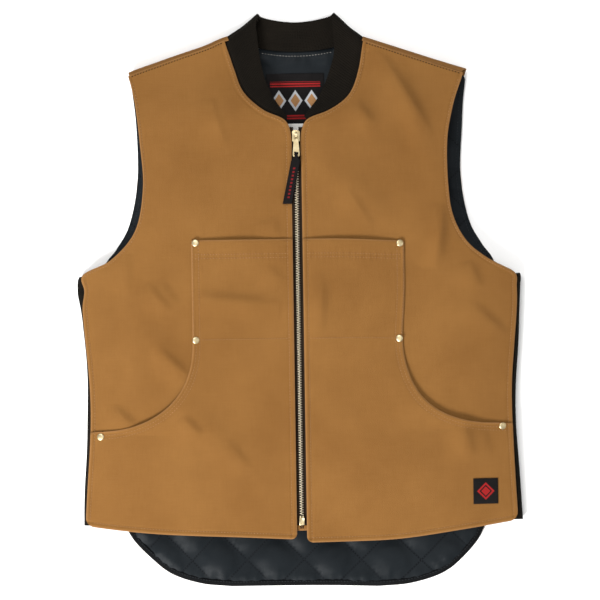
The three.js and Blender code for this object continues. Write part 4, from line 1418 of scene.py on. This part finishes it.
tapes = {}
for name, side in SIDES.items():
    tapes[name] = piece(f"zip_cloth_{name}", zip_tape(side), zip_weave, "zip_tape", f"zip_tape_{name}")
    thicken(tapes[name], ZIP["tape"], 0)
print("zip tapes:", len(tapes["left"].data.polygons), "faces each")

# %% Teeth
def finished(bm, name, finish, slot, *nodes, smooth=True):
    """Turns a bmesh in millimetres into a piece of the vest's front."""
    to_front = Matrix.Scale(MM, 4) @ Matrix.Translation((FRONT_SHIFT, 0, 0))
    bmesh.ops.transform(bm, matrix=to_front, verts=bm.verts)
    bmesh.ops.recalc_face_normals(bm, faces=bm.faces)
    mesh = mesh_from(bm, name)
    obj = piece(name, mesh, finish, slot, *nodes)
    if smooth:
        mesh.set_sharp_from_angle(angle=math.radians(40))
    return obj


def block(bm, centre, size):
    matrix = Matrix.Translation(centre) @ Matrix.Diagonal((*size, 1.0))
    return bmesh.ops.create_cube(bm, size=1.0, matrix=matrix)["verts"]


def round_edges(bm, edges, width, segments):
    bmesh.ops.bevel(
        bm, geom=edges, offset=width, segments=segments, profile=0.5, affect="EDGES", material=-1
    )


bm = bmesh.new()
count = 0
for side, first in ((1, 0.0), (-1, 0.5 * ZIP["pitch"])):
    for y in np.arange(CHAIN["low"] + first, CHAIN["high"], ZIP["pitch"]):
        z = float(tape_top(y)) + GAP + ZIP["chain"] / 2.0
        for vert in block(bm, (side * 1.1, y, z), (3.4, 1.15, ZIP["chain"])):
            if side * vert.co.x > 1.0:
                vert.co.z = z + 0.5 * (vert.co.z - z)
        count += 1
round_edges(bm, bm.edges[:], 0.38, 1)
finished(bm, "zip_teeth", tooth_brass, "brass", "zip_chain")
print("zip:", count, "teeth")

# %% [markdown]
# The lower end of the zip sits in a small brass box, with a folded strip of canvas under it. The slider is
# two shield-shaped plates on a post. Its bridge is a flat bar bent to an arch, which is a spin of a
# rectangle through half a turn.

# %% Box, facing and slider
bm = bmesh.new()
box_z = float(tape_top(np.float64(-290.0))) + GAP
block(bm, (0.0, -289.4, box_z + 1.7), (6.6, 9.6, 3.4))
block(bm, (1.7, -283.6, box_z + 1.4), (2.2, 3.2, 2.4))
block(bm, (-1.7, -283.6, box_z + 1.4), (2.2, 3.2, 2.4))
round_edges(bm, bm.edges[:], 0.55, 2)
lid = max(bm.faces, key=lambda face: (round(face.calc_center_median().z, 2), face.calc_area()))
bmesh.ops.inset_individual(bm, faces=[lid], thickness=0.9, depth=-0.35)
finished(bm, "zip_foot", brass, "brass", "zip_box")

FACING = curve_through([
    (-294.6, 0.0), (-298.0, 0.05), (-300.6, -0.05), (-301.6, -0.8), (-300.6, -1.55), (-295.0, -1.6),
])


def facing_place(x, t):
    y, z = FACING(t).T
    spots = np.column_stack([x + FRONT_SHIFT, y, tape_top(y) + z])
    return spots, np.column_stack([x, 4.0 * t]), np.abs(t - 3.0)


facing = piece(
    "zip_facing",
    sheet_mesh("zip_facing", np.linspace(-10.0, 10.0, 15), np.linspace(0, 5, 26), facing_place, True),
    duck_canvas, "canvas", "zip_end_facing",
)
thicken(facing, 0.6, 0)

SLIDER = {"y": 214.0, "half": 7.5, "plate": 1.6, "wide": 5.5, "narrow": 4.3}
slider_base = float(tape_top(np.float64(SLIDER["y"])))
plate_low = slider_base + GAP + ZIP["chain"] + GAP
plate_top = plate_low + SLIDER["plate"]


def shield(bm, low):
    """A slider plate: tapered block, round at its broad end."""
    size = (2.0 * SLIDER["wide"], 2.0 * SLIDER["half"], SLIDER["plate"])
    verts = block(bm, (0.0, SLIDER["y"], low + 0.8), size)
    for vert in verts:
        if vert.co.y < SLIDER["y"]:
            vert.co.x *= SLIDER["narrow"] / SLIDER["wide"]
    corners = {e for v in verts for e in v.link_edges if abs(e.verts[0].co.z - e.verts[1].co.z) > 1.0}
    broad = [e for e in corners if e.verts[0].co.y > SLIDER["y"]]
    round_edges(bm, broad, 3.6, 5)


bm = bmesh.new()
shield(bm, plate_low)
shield(bm, slider_base - ZIP["tape"] - GAP - SLIDER["plate"])
rims = [e for e in bm.edges if e.calc_face_angle(0.0) > 1.0]
round_edges(bm, rims, 0.4, 2)
post = (0.0, SLIDER["y"] + 5.2, (plate_top + slider_base - 2.0) / 2.0)
block(bm, post, (2.8, 3.5, plate_top - slider_base + 1.0))
for side in (1, -1):
    block(bm, (side * 4.5, SLIDER["y"] - 2.5, plate_low - 0.7), (0.8, 8.0, 1.8))
arch = bmesh.ops.create_grid(bm, x_segments=1, y_segments=1, size=0.5)["verts"]
bmesh.ops.scale(bm, verts=arch, vec=(3.0, 1.2, 1.0))
bmesh.ops.translate(bm, verts=arch, vec=(0.0, SLIDER["y"] + 1.0 + 3.6, plate_top - 0.3))
bent = [g for v in arch for g in (v, *v.link_edges, *v.link_faces)]
centre = Vector((0.0, SLIDER["y"] + 1.0, plate_top - 0.3))
bmesh.ops.spin(bm, geom=list(set(bent)), cent=centre, axis=(1, 0, 0), angle=math.pi, steps=18)
high = [v for v in bm.verts if v.co.z > plate_top + 0.02]
bmesh.ops.scale(bm, verts=high, vec=(1, 1, 1.12), space=Matrix.Translation(-centre))
finished(bm, "zip_runner", brass, "brass", "zip_slider")
print("slider on the chain at", SLIDER["y"], "mm")

# %% [markdown]
# The pull is a stamped plate with two windows: one turns round the bridge, the other takes the fabric tab. A
# grid of three by five faces, less the two windows, is its outline; Solidify and Bevel make it a stamping. The
# tab is a strip of tape folded through the lower window, so its section is a long narrow loop.

# %% Pull and tab
PULL_ROWS = [(0.8, 2.2), (-0.8, 2.2), (-5.3, 2.2), (-21.8, 2.7), (-25.6, 2.7), (-28.2, 2.7)]
hang = (
    Matrix.Translation((0.0, SLIDER["y"] + 1.0, plate_top + 2.3)) @ Matrix.Rotation(math.radians(3), 4, "X")
)


def pull_place(column, row):
    y = np.interp(row, range(6), [r[0] for r in PULL_ROWS])
    window = np.interp(row, range(6), [r[1] for r in PULL_ROWS])
    broad = np.interp(row, range(6), [3.3, 3.2, 3.0, 4.5, 4.6, 4.4])
    x = np.sign(column) * np.where(np.abs(column) > 1.0, broad, window)
    return np.column_stack([x, y, 0.0 * x]), np.column_stack([x, y]), 0.0 * x


plate_mesh = sheet_mesh("pull", np.array([-1.5, -0.5, 0.5, 1.5]), np.arange(6), pull_place, True)
bm = bmesh.new()
bm.from_mesh(plate_mesh)
bmesh.ops.scale(bm, verts=bm.verts, vec=(1 / MM, 1 / MM, 1 / MM))
windows = []
for face in bm.faces:
    middle = face.calc_center_median()
    if abs(middle.x) < 0.5 and (-5.3 < middle.y < -0.8 or -25.6 < middle.y < -21.8):
        windows.append(face)
bmesh.ops.delete(bm, geom=windows, context="FACES")
tips = [v for v in bm.verts if len(v.link_faces) == 1 and v.co.y < -27.0]
bmesh.ops.bevel(bm, geom=tips, offset=2.4, segments=4, profile=0.5, affect="VERTICES", material=-1)
bmesh.ops.transform(bm, matrix=hang, verts=bm.verts)
pull = finished(bm, "zip_handle", brass, "brass", "zip_pull")
thicken(pull, 1.6, 0.5, 3)
pull.modifiers["thickness"].offset = 0.0

TAB = {"start": 29.8, "end": 89.5, "half": 6.0, "lean": math.tan(math.radians(12)), "rise": 1.2}
TAB_LOOP = curve_through([
    (89.5, 0.85), (71.0, 0.95), (51.0, 0.95), (36.0, 0.9), (30.6, 1.1), (27.0, 1.55), (24.5, 1.2),
    (23.7, 0.0),
    (24.5, -1.2), (27.0, -1.55), (30.6, -1.1), (36.0, -0.1), (51.0, -0.05), (71.0, -0.05), (89.5, -0.1),
])


def tab_place(u, t):
    reach, z = TAB_LOOP(t).T
    half = lerp(2.2, TAB["half"], smoothstep(reach, 28.5, 34.0))
    share = np.maximum(reach - TAB["start"], 0.0)
    x = u * half - share * TAB["lean"]
    z = z + TAB["rise"] * share / (TAB["end"] - TAB["start"])
    spots = np.column_stack([x, -reach, z])
    turned = np.array(hang.to_3x3())
    spots = spots @ turned.T + np.array(hang.translation) + np.array([FRONT_SHIFT, 0.0, 0.0])
    under = np.where(t > 7.0, 80.0, 0.0)
    return spots, np.column_stack([u * half, reach + under]), half * (1.0 - np.abs(u))


def stripes(across, low, high, pitch, filled):
    """Bars across a tape: their reach each way, where they start and end, and their spacing, in metres."""
    def mask(tree, cloth):
        axes = axes_of(tree, cloth)
        x, y = axes["X"], axes["Y"]
        bar = calc(tree, "LESS_THAN", calc(tree, "FRACT", calc(tree, "DIVIDE", y, pitch)), filled)
        wide = calc(tree, "LESS_THAN", calc(tree, "ABSOLUTE", x), across)
        ends = calc(tree, "MULTIPLY", calc(tree, "GREATER_THAN", y, low), calc(tree, "LESS_THAN", y, high))
        return calc(tree, "MULTIPLY", calc(tree, "MULTIPLY", bar, wide), ends)

    return mask


def lozenge(x0, y0, wide, tall, hole=0.0):
    """A diamond, or a diamond ring, with its middle at x0, y0 on the cloth, in metres."""
    def mask(tree, cloth):
        axes = axes_of(tree, cloth)
        parts = []
        for axis, middle, size in (("X", x0, wide), ("Y", y0, tall)):
            away = calc(tree, "ABSOLUTE", calc(tree, "SUBTRACT", axes[axis], middle))
            parts.append(calc(tree, "DIVIDE", away, size))
        reach = calc(tree, "ADD", *parts)
        full = calc(tree, "LESS_THAN", reach, 1.0)
        return calc(tree, "MULTIPLY", full, calc(tree, "GREATER_THAN", reach, hole))

    return mask


RED = shade(0.25, 0.0125, 0.0125)
DEEP_RED = shade(0.15, 0.009, 0.0105)
BLACK_DYE = (shade(0.0048, 0.0042, 0.0042), shade(0.0098, 0.0086, 0.0086))
tab_bars = stripes(0.0014, 0.040, 0.082, 0.0047, 0.5)
tab_weave = woven("tab_weave", *BLACK_DYE, 1800.0, 0.0001, 0.8, figures=[(tab_bars, DEEP_RED)])
tab = piece(
    "zip_tab",
    sheet_mesh("zip_tab", np.linspace(-1, 1, 11), np.linspace(0, 14, 113), tab_place, True),
    tab_weave, "black_trim", "pull_tab",
)
thicken(tab, 0.75, 0)
print("tab:", len(tab.data.polygons), "faces")

# %% [markdown]
# ## Rivets, patch and labels
#
# Six rivets take the pull at the pocket corners. A rivet cap is turned: half of its section, spun once round.
# The small woven pieces are plain designs: their figures are masks on the cloth's own coordinates.

# %% Rivets
RIVETS = {"chest_top": (133.5, 76.5), "chest_foot": (134.5, -50.5), "pocket_end": (264.5, -172.5)}
RIVET_SINKS = {("pocket_end", "left"): 2.8, ("pocket_end", "right"): -3.6}
CAP = [
    (0.0, 1.6), (1.4, 1.58), (2.6, 1.5), (3.5, 1.33), (4.2, 1.05), (4.65, 0.65), (4.8, 0.2), (4.7, -0.5),
]


def ground(*objects):
    """A search tree over finished cloth, with its modifiers."""
    ready = bpy.context.evaluated_depsgraph_get()
    return [BVHTree.FromObject(obj, ready) for obj in objects]


def drop(trees, x, y, start=0.08):
    """The highest place under a spot, and the direction the cloth faces there."""
    best = None
    for tree in trees:
        spot, normal, _, _ = tree.ray_cast(Vector((x * MM, y * MM, start)), Vector((0, 0, -1)))
        if spot and (best is None or spot.z > best[0].z):
            best = (spot, normal)
    return best


front_trees = {
    name: ground(panels[name], panels[f"pocket_{name}"], panels[f"shoulder_{name}"]) for name in SIDES
}
for at, (x, y) in RIVETS.items():
    for name, side in SIDES.items():
        sunk = y - RIVET_SINKS.get((at, name), 0.0)
        spot, normal = drop(front_trees[name], side * x + FRONT_SHIFT, sunk)
        bm = bmesh.new()
        rim = [bm.verts.new((r, 0.0, z)) for r, z in CAP]
        line = [bm.edges.new(pair) for pair in zip(rim, rim[1:])]
        bmesh.ops.spin(
            bm, geom=rim + line, cent=(0, 0, 0), axis=(0, 0, 1), angle=2 * math.pi, steps=28, use_merge=True
        )
        bmesh.ops.remove_doubles(bm, verts=bm.verts, dist=0.0005)
        stand = Vector((0, 0, 1)).rotation_difference(normal).to_matrix().to_4x4()
        place = Matrix.Translation(spot / MM - Vector((FRONT_SHIFT, 0, 0))) @ stand
        bmesh.ops.transform(bm, matrix=place, verts=bm.verts)
        finished(bm, f"rivet_cap_{at}_{name}", brass, "brass", f"rivet_{at}_{name}")
print("rivets:", 2 * len(RIVETS))

# %% [markdown]
# A patch has no shape of its own: it takes that of the cloth below. So each point of its grid is dropped
# straight down onto the finished cloth, found with a search tree, and lifted by its own thickness.

# %% Patch, label and tag
def laid_on(trees, size, lift):
    """A small flat cloth laid over others: its grid is dropped onto them point by point."""
    def place(u, v):
        x, y = size["x"] + u, size["y"] + v
        z = np.array([drop(trees, a, b)[0].z / MM for a, b in zip(x, y)])
        edge = np.minimum(size["width"] / 2.0 - np.abs(u), size["height"] / 2.0 - np.abs(v))
        return np.column_stack([x, y, z + lift]), np.column_stack([u, v]), edge

    columns = np.linspace(-size["width"] / 2.0, size["width"] / 2.0, round(size["width"] / 2.0))
    rows = np.linspace(-size["height"] / 2.0, size["height"] / 2.0, round(size["height"] / 2.0))
    return sheet_mesh("laid_cloth", columns, rows, place)


PATCH = {"x": 241.0 + FRONT_SHIFT, "y": -253.5, "width": 32.5, "height": 33.5}
WHITE = shade(0.36, 0.37, 0.385)
TAN = shade(0.3, 0.155, 0.064)
LABEL_COLUMNS = (-0.0215, 0.0, 0.0215)
patch_weave = woven(
    "patch_weave", *BLACK_DYE, 1500.0, 0.00012, 0.8,
    figures=[(lozenge(0.0, 0.0, 0.0115, 0.0115, 0.72), RED), (lozenge(0.0, 0.0, 0.0062, 0.0062), RED)],
)
label_weave = woven(
    "label_weave", *BLACK_DYE, 1800.0, 0.00008, 0.75,
    figures=[
        (stripes(0.033, 0.0145, 0.0215, 0.0035, 0.6), RED),
        (stripes(0.033, -0.0285, -0.0215, 0.0035, 0.6), RED),
        *[(lozenge(x, -0.0035, 0.0095, 0.014), WHITE) for x in LABEL_COLUMNS],
        *[(lozenge(x, -0.0035, 0.0062, 0.0092), TAN) for x in LABEL_COLUMNS],
    ],
)
patch = piece("hem_patch", laid_on(front_trees["right"], PATCH, 1.1), patch_weave, "black_trim", "front_patch")
thicken(patch, 1.0, 0.35)
lining_trees = ground(back_pad)
label = piece("collar_label", laid_on(lining_trees, NECK_LABEL, 1.0), label_weave, "black_trim", "neck_label")
thicken(label, 0.7, 0.25)
tag = piece("care_tag", laid_on(lining_trees, SIZE_TAG, 0.8), white_weave, "white_tape", "size_tag")
thicken(tag, 0.5, 0.2)
print("patch, label and tag laid on the cloth")

# %% [markdown]
# ## Stitching
#
# The seams are what makes the vest read as workwear: two rows round the hand pockets, one row a little in
# from every edge. A stitch is a short stretched ball of thread, half sunk in its groove. Each row is a line on
# the plan; stitches are spaced along it and dropped onto the finished cloth, so they follow every fold.

# %% Stitch rows
STITCH_PITCH = 3.9
STITCH_SIZE = (1.2, 0.5, 0.38)


def beside(line, inset):
    """A line moved sideways, to the left of its direction."""
    along = unit(np.gradient(line, axis=0))
    return line + inset * np.column_stack([-along[:, 1], along[:, 0]])


def span(line, low, high):
    """The part of a line between two distances from its start; a negative end counts from its other end."""
    run = run_along(line)
    stops = np.arange(low, high if high > 0 else run[-1] + high, STITCH_PITCH / 4.0)
    return np.column_stack([np.interp(stops, run, line[:, i]) for i in range(2)])


def sew(bm, trees, line, size=STITCH_SIZE, sink=0.08):
    run = run_along(line)
    made = 0
    for stop in np.arange(0.5 * STITCH_PITCH, run[-1], STITCH_PITCH):
        ends = [[np.interp(stop + d, run, line[:, i]) for i in range(2)] for d in (-0.8, 0.8)]
        hits = [drop(trees, *end) for end in ends]
        if None in hits:
            continue
        aim = (hits[1][0] - hits[0][0]).normalized()
        up = (hits[0][1] + hits[1][1]).normalized()
        across = up.cross(aim).normalized()
        turn = Matrix((aim, across, aim.cross(across))).transposed().to_4x4()
        middle = (hits[0][0] + hits[1][0]) / 2.0 / MM + up * (size[2] - sink)
        place = Matrix.Translation(middle) @ turn @ Matrix.Diagonal((*size, 1.0))
        bmesh.ops.create_uvsphere(bm, u_segments=6, v_segments=4, radius=1.0, matrix=place)
        made += 1
    return made


def stitched(bm, name, finish, slot):
    bmesh.ops.scale(bm, verts=bm.verts, vec=(MM, MM, MM))
    return piece(name, mesh_from(bm, name), finish, slot)


mouth_rows = np.linspace(LEVEL["pocket_floor"], POCKET["corner_y"], 90)
mouths = {name: pocket_outer(mouth_rows, name) for name in SIDES}
upright = np.array([[POCKET["corner_x"], y] for y in np.linspace(POCKET["corner_y"], POCKET["top_y"], 40)])
neck_from = int(SECTION["neck start"] / LAST * (FRONT_STEPS - 1))
arm_from = int(SECTION["underarm"] / LAST * (FRONT_STEPS - 1))
level = lambda y, low, high: np.column_stack([np.linspace(low, high, 60), np.full(60, y)])
FRONT_ROWS = [
    span(beside(zip_edge[:neck_from], -STITCH["zip"]), 5.0, -1.0),
    span(beside(zip_edge[neck_from - 2:], -STITCH["neck"]), 0.0, -6.0),
    span(beside(hem_edge, STITCH["hem"]), 7.0, -9.0),
    span(beside(side_edge[:arm_from], STITCH["side"]), 6.0, -2.0),
    span(beside(side_edge[arm_from - 4:], STITCH["armhole"]), 4.0, -4.0),
    span(beside(upright, 1.8), 2.0, -2.0),
    span(beside(upright, 9.5), 2.0, -2.0),
    *[span(level(POCKET["top_y"] - below, 14.0, 137.0), 0.0, -1.0) for below in TOP_HEM],
    span(level(-50.0, 14.0, 133.0), 0.0, -1.0),
]
rows = 0
for name, side in SIDES.items():
    bm = bmesh.new()
    hand_rows = [span(beside(mouths[name], inset), 8.0, -1.0) for inset in MOUTH_STITCH]
    for row in FRONT_ROWS + hand_rows:
        rows += sew(bm, front_trees[name], row * np.array([side, 1.0]) + np.array([FRONT_SHIFT, 0.0]))
    stitched(bm, f"front_stitching_{name}", tan_thread, "canvas")
print("front stitches:", rows)

# %% [markdown]
# Other seams have threads of their own: near-black brown at the shoulders, real stitches that are also a
# painted shade of the lapped seam, pale under the collar, slate on the tail's tape and round the armholes of
# the lining.

# %% Stitches of shoulders, neck and tail
bm = bmesh.new()
for name, side in SIDES.items():
    line = (shoulder_edge - 2.4 * shoulder_out) * np.array([side, 1.0]) + np.array([FRONT_SHIFT, 0.0])
    sew(bm, front_trees[name], span(line, 4.0, -4.0), (1.35, 0.62, 0.5))
stitched(bm, "shoulder_stitching", brown_thread_and_seam_shade, "canvas")

bm = bmesh.new()
neck_x = np.linspace(-46.0, 46.0, 60)
sew(bm, lining_trees, np.column_stack([neck_x, back_top(neck_x) - 5.0]))
stitched(bm, "neck_stitching", pale_thread, "quilted_lining")

bm = bmesh.new()
sew(bm, ground(binding), span(at_tail(tail_run, np.full_like(tail_run, 5.0)), 2.0, -2.0))
armhole = beside(back_side(np.linspace(9.0, BACK_LAST, 120)), 6.0)
for side in SIDES.values():
    sew(bm, lining_trees, armhole * np.array([side, 1.0]))
stitched(bm, "lining_stitching", slate_thread, "quilted_lining")
bpy.data.meshes.remove(roll_mesh)
print("shoulders, neck, tail and armholes stitched")

# %% [markdown]
# ## Laid down by hand
#
# A vest that was laid down by hand is not quite even: one shoulder is drawn up, a hem hangs lower, the tail
# lies a little to one side. Each such pull is a place, a shift and a reach. It moves the cloth most at its
# place and fades with distance. The front and the back can be pulled apart, because a point's height tells
# which of them it belongs to. The hard zip parts stay as they are.

# %% Pulls
PULLS = [
    ("front", -207, 215, -2.8, 0.0, 48),
    ("front", 200, 205, -3.6, 0.0, 50),
    ("front", 205, 120, -3.0, 0.0, 35),
    ("both", 277, 40, 0.0, -4.2, 30),
    ("front", 224, 72, -0.6, -2.8, 24),
    ("both", 221, 292, 2.2, 0.0, 25),
    ("front", 140, 78, 0.0, -4.2, 60),
    ("front", 137, -50, -3.8, -1.4, 40),
    ("both", 283, -55, 2.4, 0.0, 70),
    ("front", 280, -8, 1.2, 0.0, 30),
    ("front", -278, -165, 2.8, 0.0, 75),
    ("front", -284, 16, 4.6, 0.0, 15),
    ("back", -290, 15, -3.0, 0.0, 18),
    ("front left", -75, -318, 0.0, 5.8, 120),
    ("front", 125, -312, 0.0, -2.4, 60),
    ("both", -160, 318, 0.0, 2.2, 60),
    ("both", -215, 298, -0.2, 1.2, 30),
    ("both", -92, 345, -2.5, 2.5, 22),
    ("both", -76, 360, 0.3, -0.4, 14),
    ("both", 73, 360, -0.8, -1.1, 14),
    ("front", -88, 300, 3.3, 0.0, 25),
    ("front", 62, 268, 3.4, -3.2, 32),
    ("front", 44, 325, 5.0, 0.0, 26),
    ("back", 215, 200, 2.8, 0.0, 100),
    ("back", -217, 235, 2.4, 0.0, 45),
    ("back", -200, -345, 4.6, 0.0, 75),
    ("back", 205, -340, 6.5, -1.0, 85),
    ("back", 135, -370, 0.0, -3.2, 80),
    ("back", -290, -240, -2.2, 0.0, 60),
]


BACK_TOP, FRONT_LOW = 8.0, 16.0


def pulled(spots):
    front = smoothstep(spots[:, 2], BACK_TOP, FRONT_LOW)
    shares = {"front": front, "back": 1.0 - front, "both": 1.0, "front left": front * (spots[:, 0] < -7.0)}
    moved = spots.copy()
    for layer, x, y, dx, dy, reach in PULLS:
        near = np.exp(-((spots[:, 0] - x) ** 2 + (spots[:, 1] - y) ** 2) / reach**2) * shares[layer]
        moved[:, 0] += dx * near
        moved[:, 1] += dy * near
    return moved


for obj in pieces:
    if not obj.name.startswith("zip_"):
        write_points(obj.data, pulled(read_points(obj.data) / MM) * MM)
print("pulled by hand:", len(PULLS), "places")

# %% [markdown]
# ## Measuring up
#
# The finished cloth should fill the same box as the plain solids it replaced, give or take the puff of a fold.
# Both boxes are put side by side, and the new one is printed.

# %% Size
made_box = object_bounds()
sizes = {"cad": cad_box, "visual": made_box}
sizes = {name: [list(map(float, corner)) for corner in box] for name, box in sizes.items()}
print("box:", [round(x, 4) for corner in made_box for x in corner])
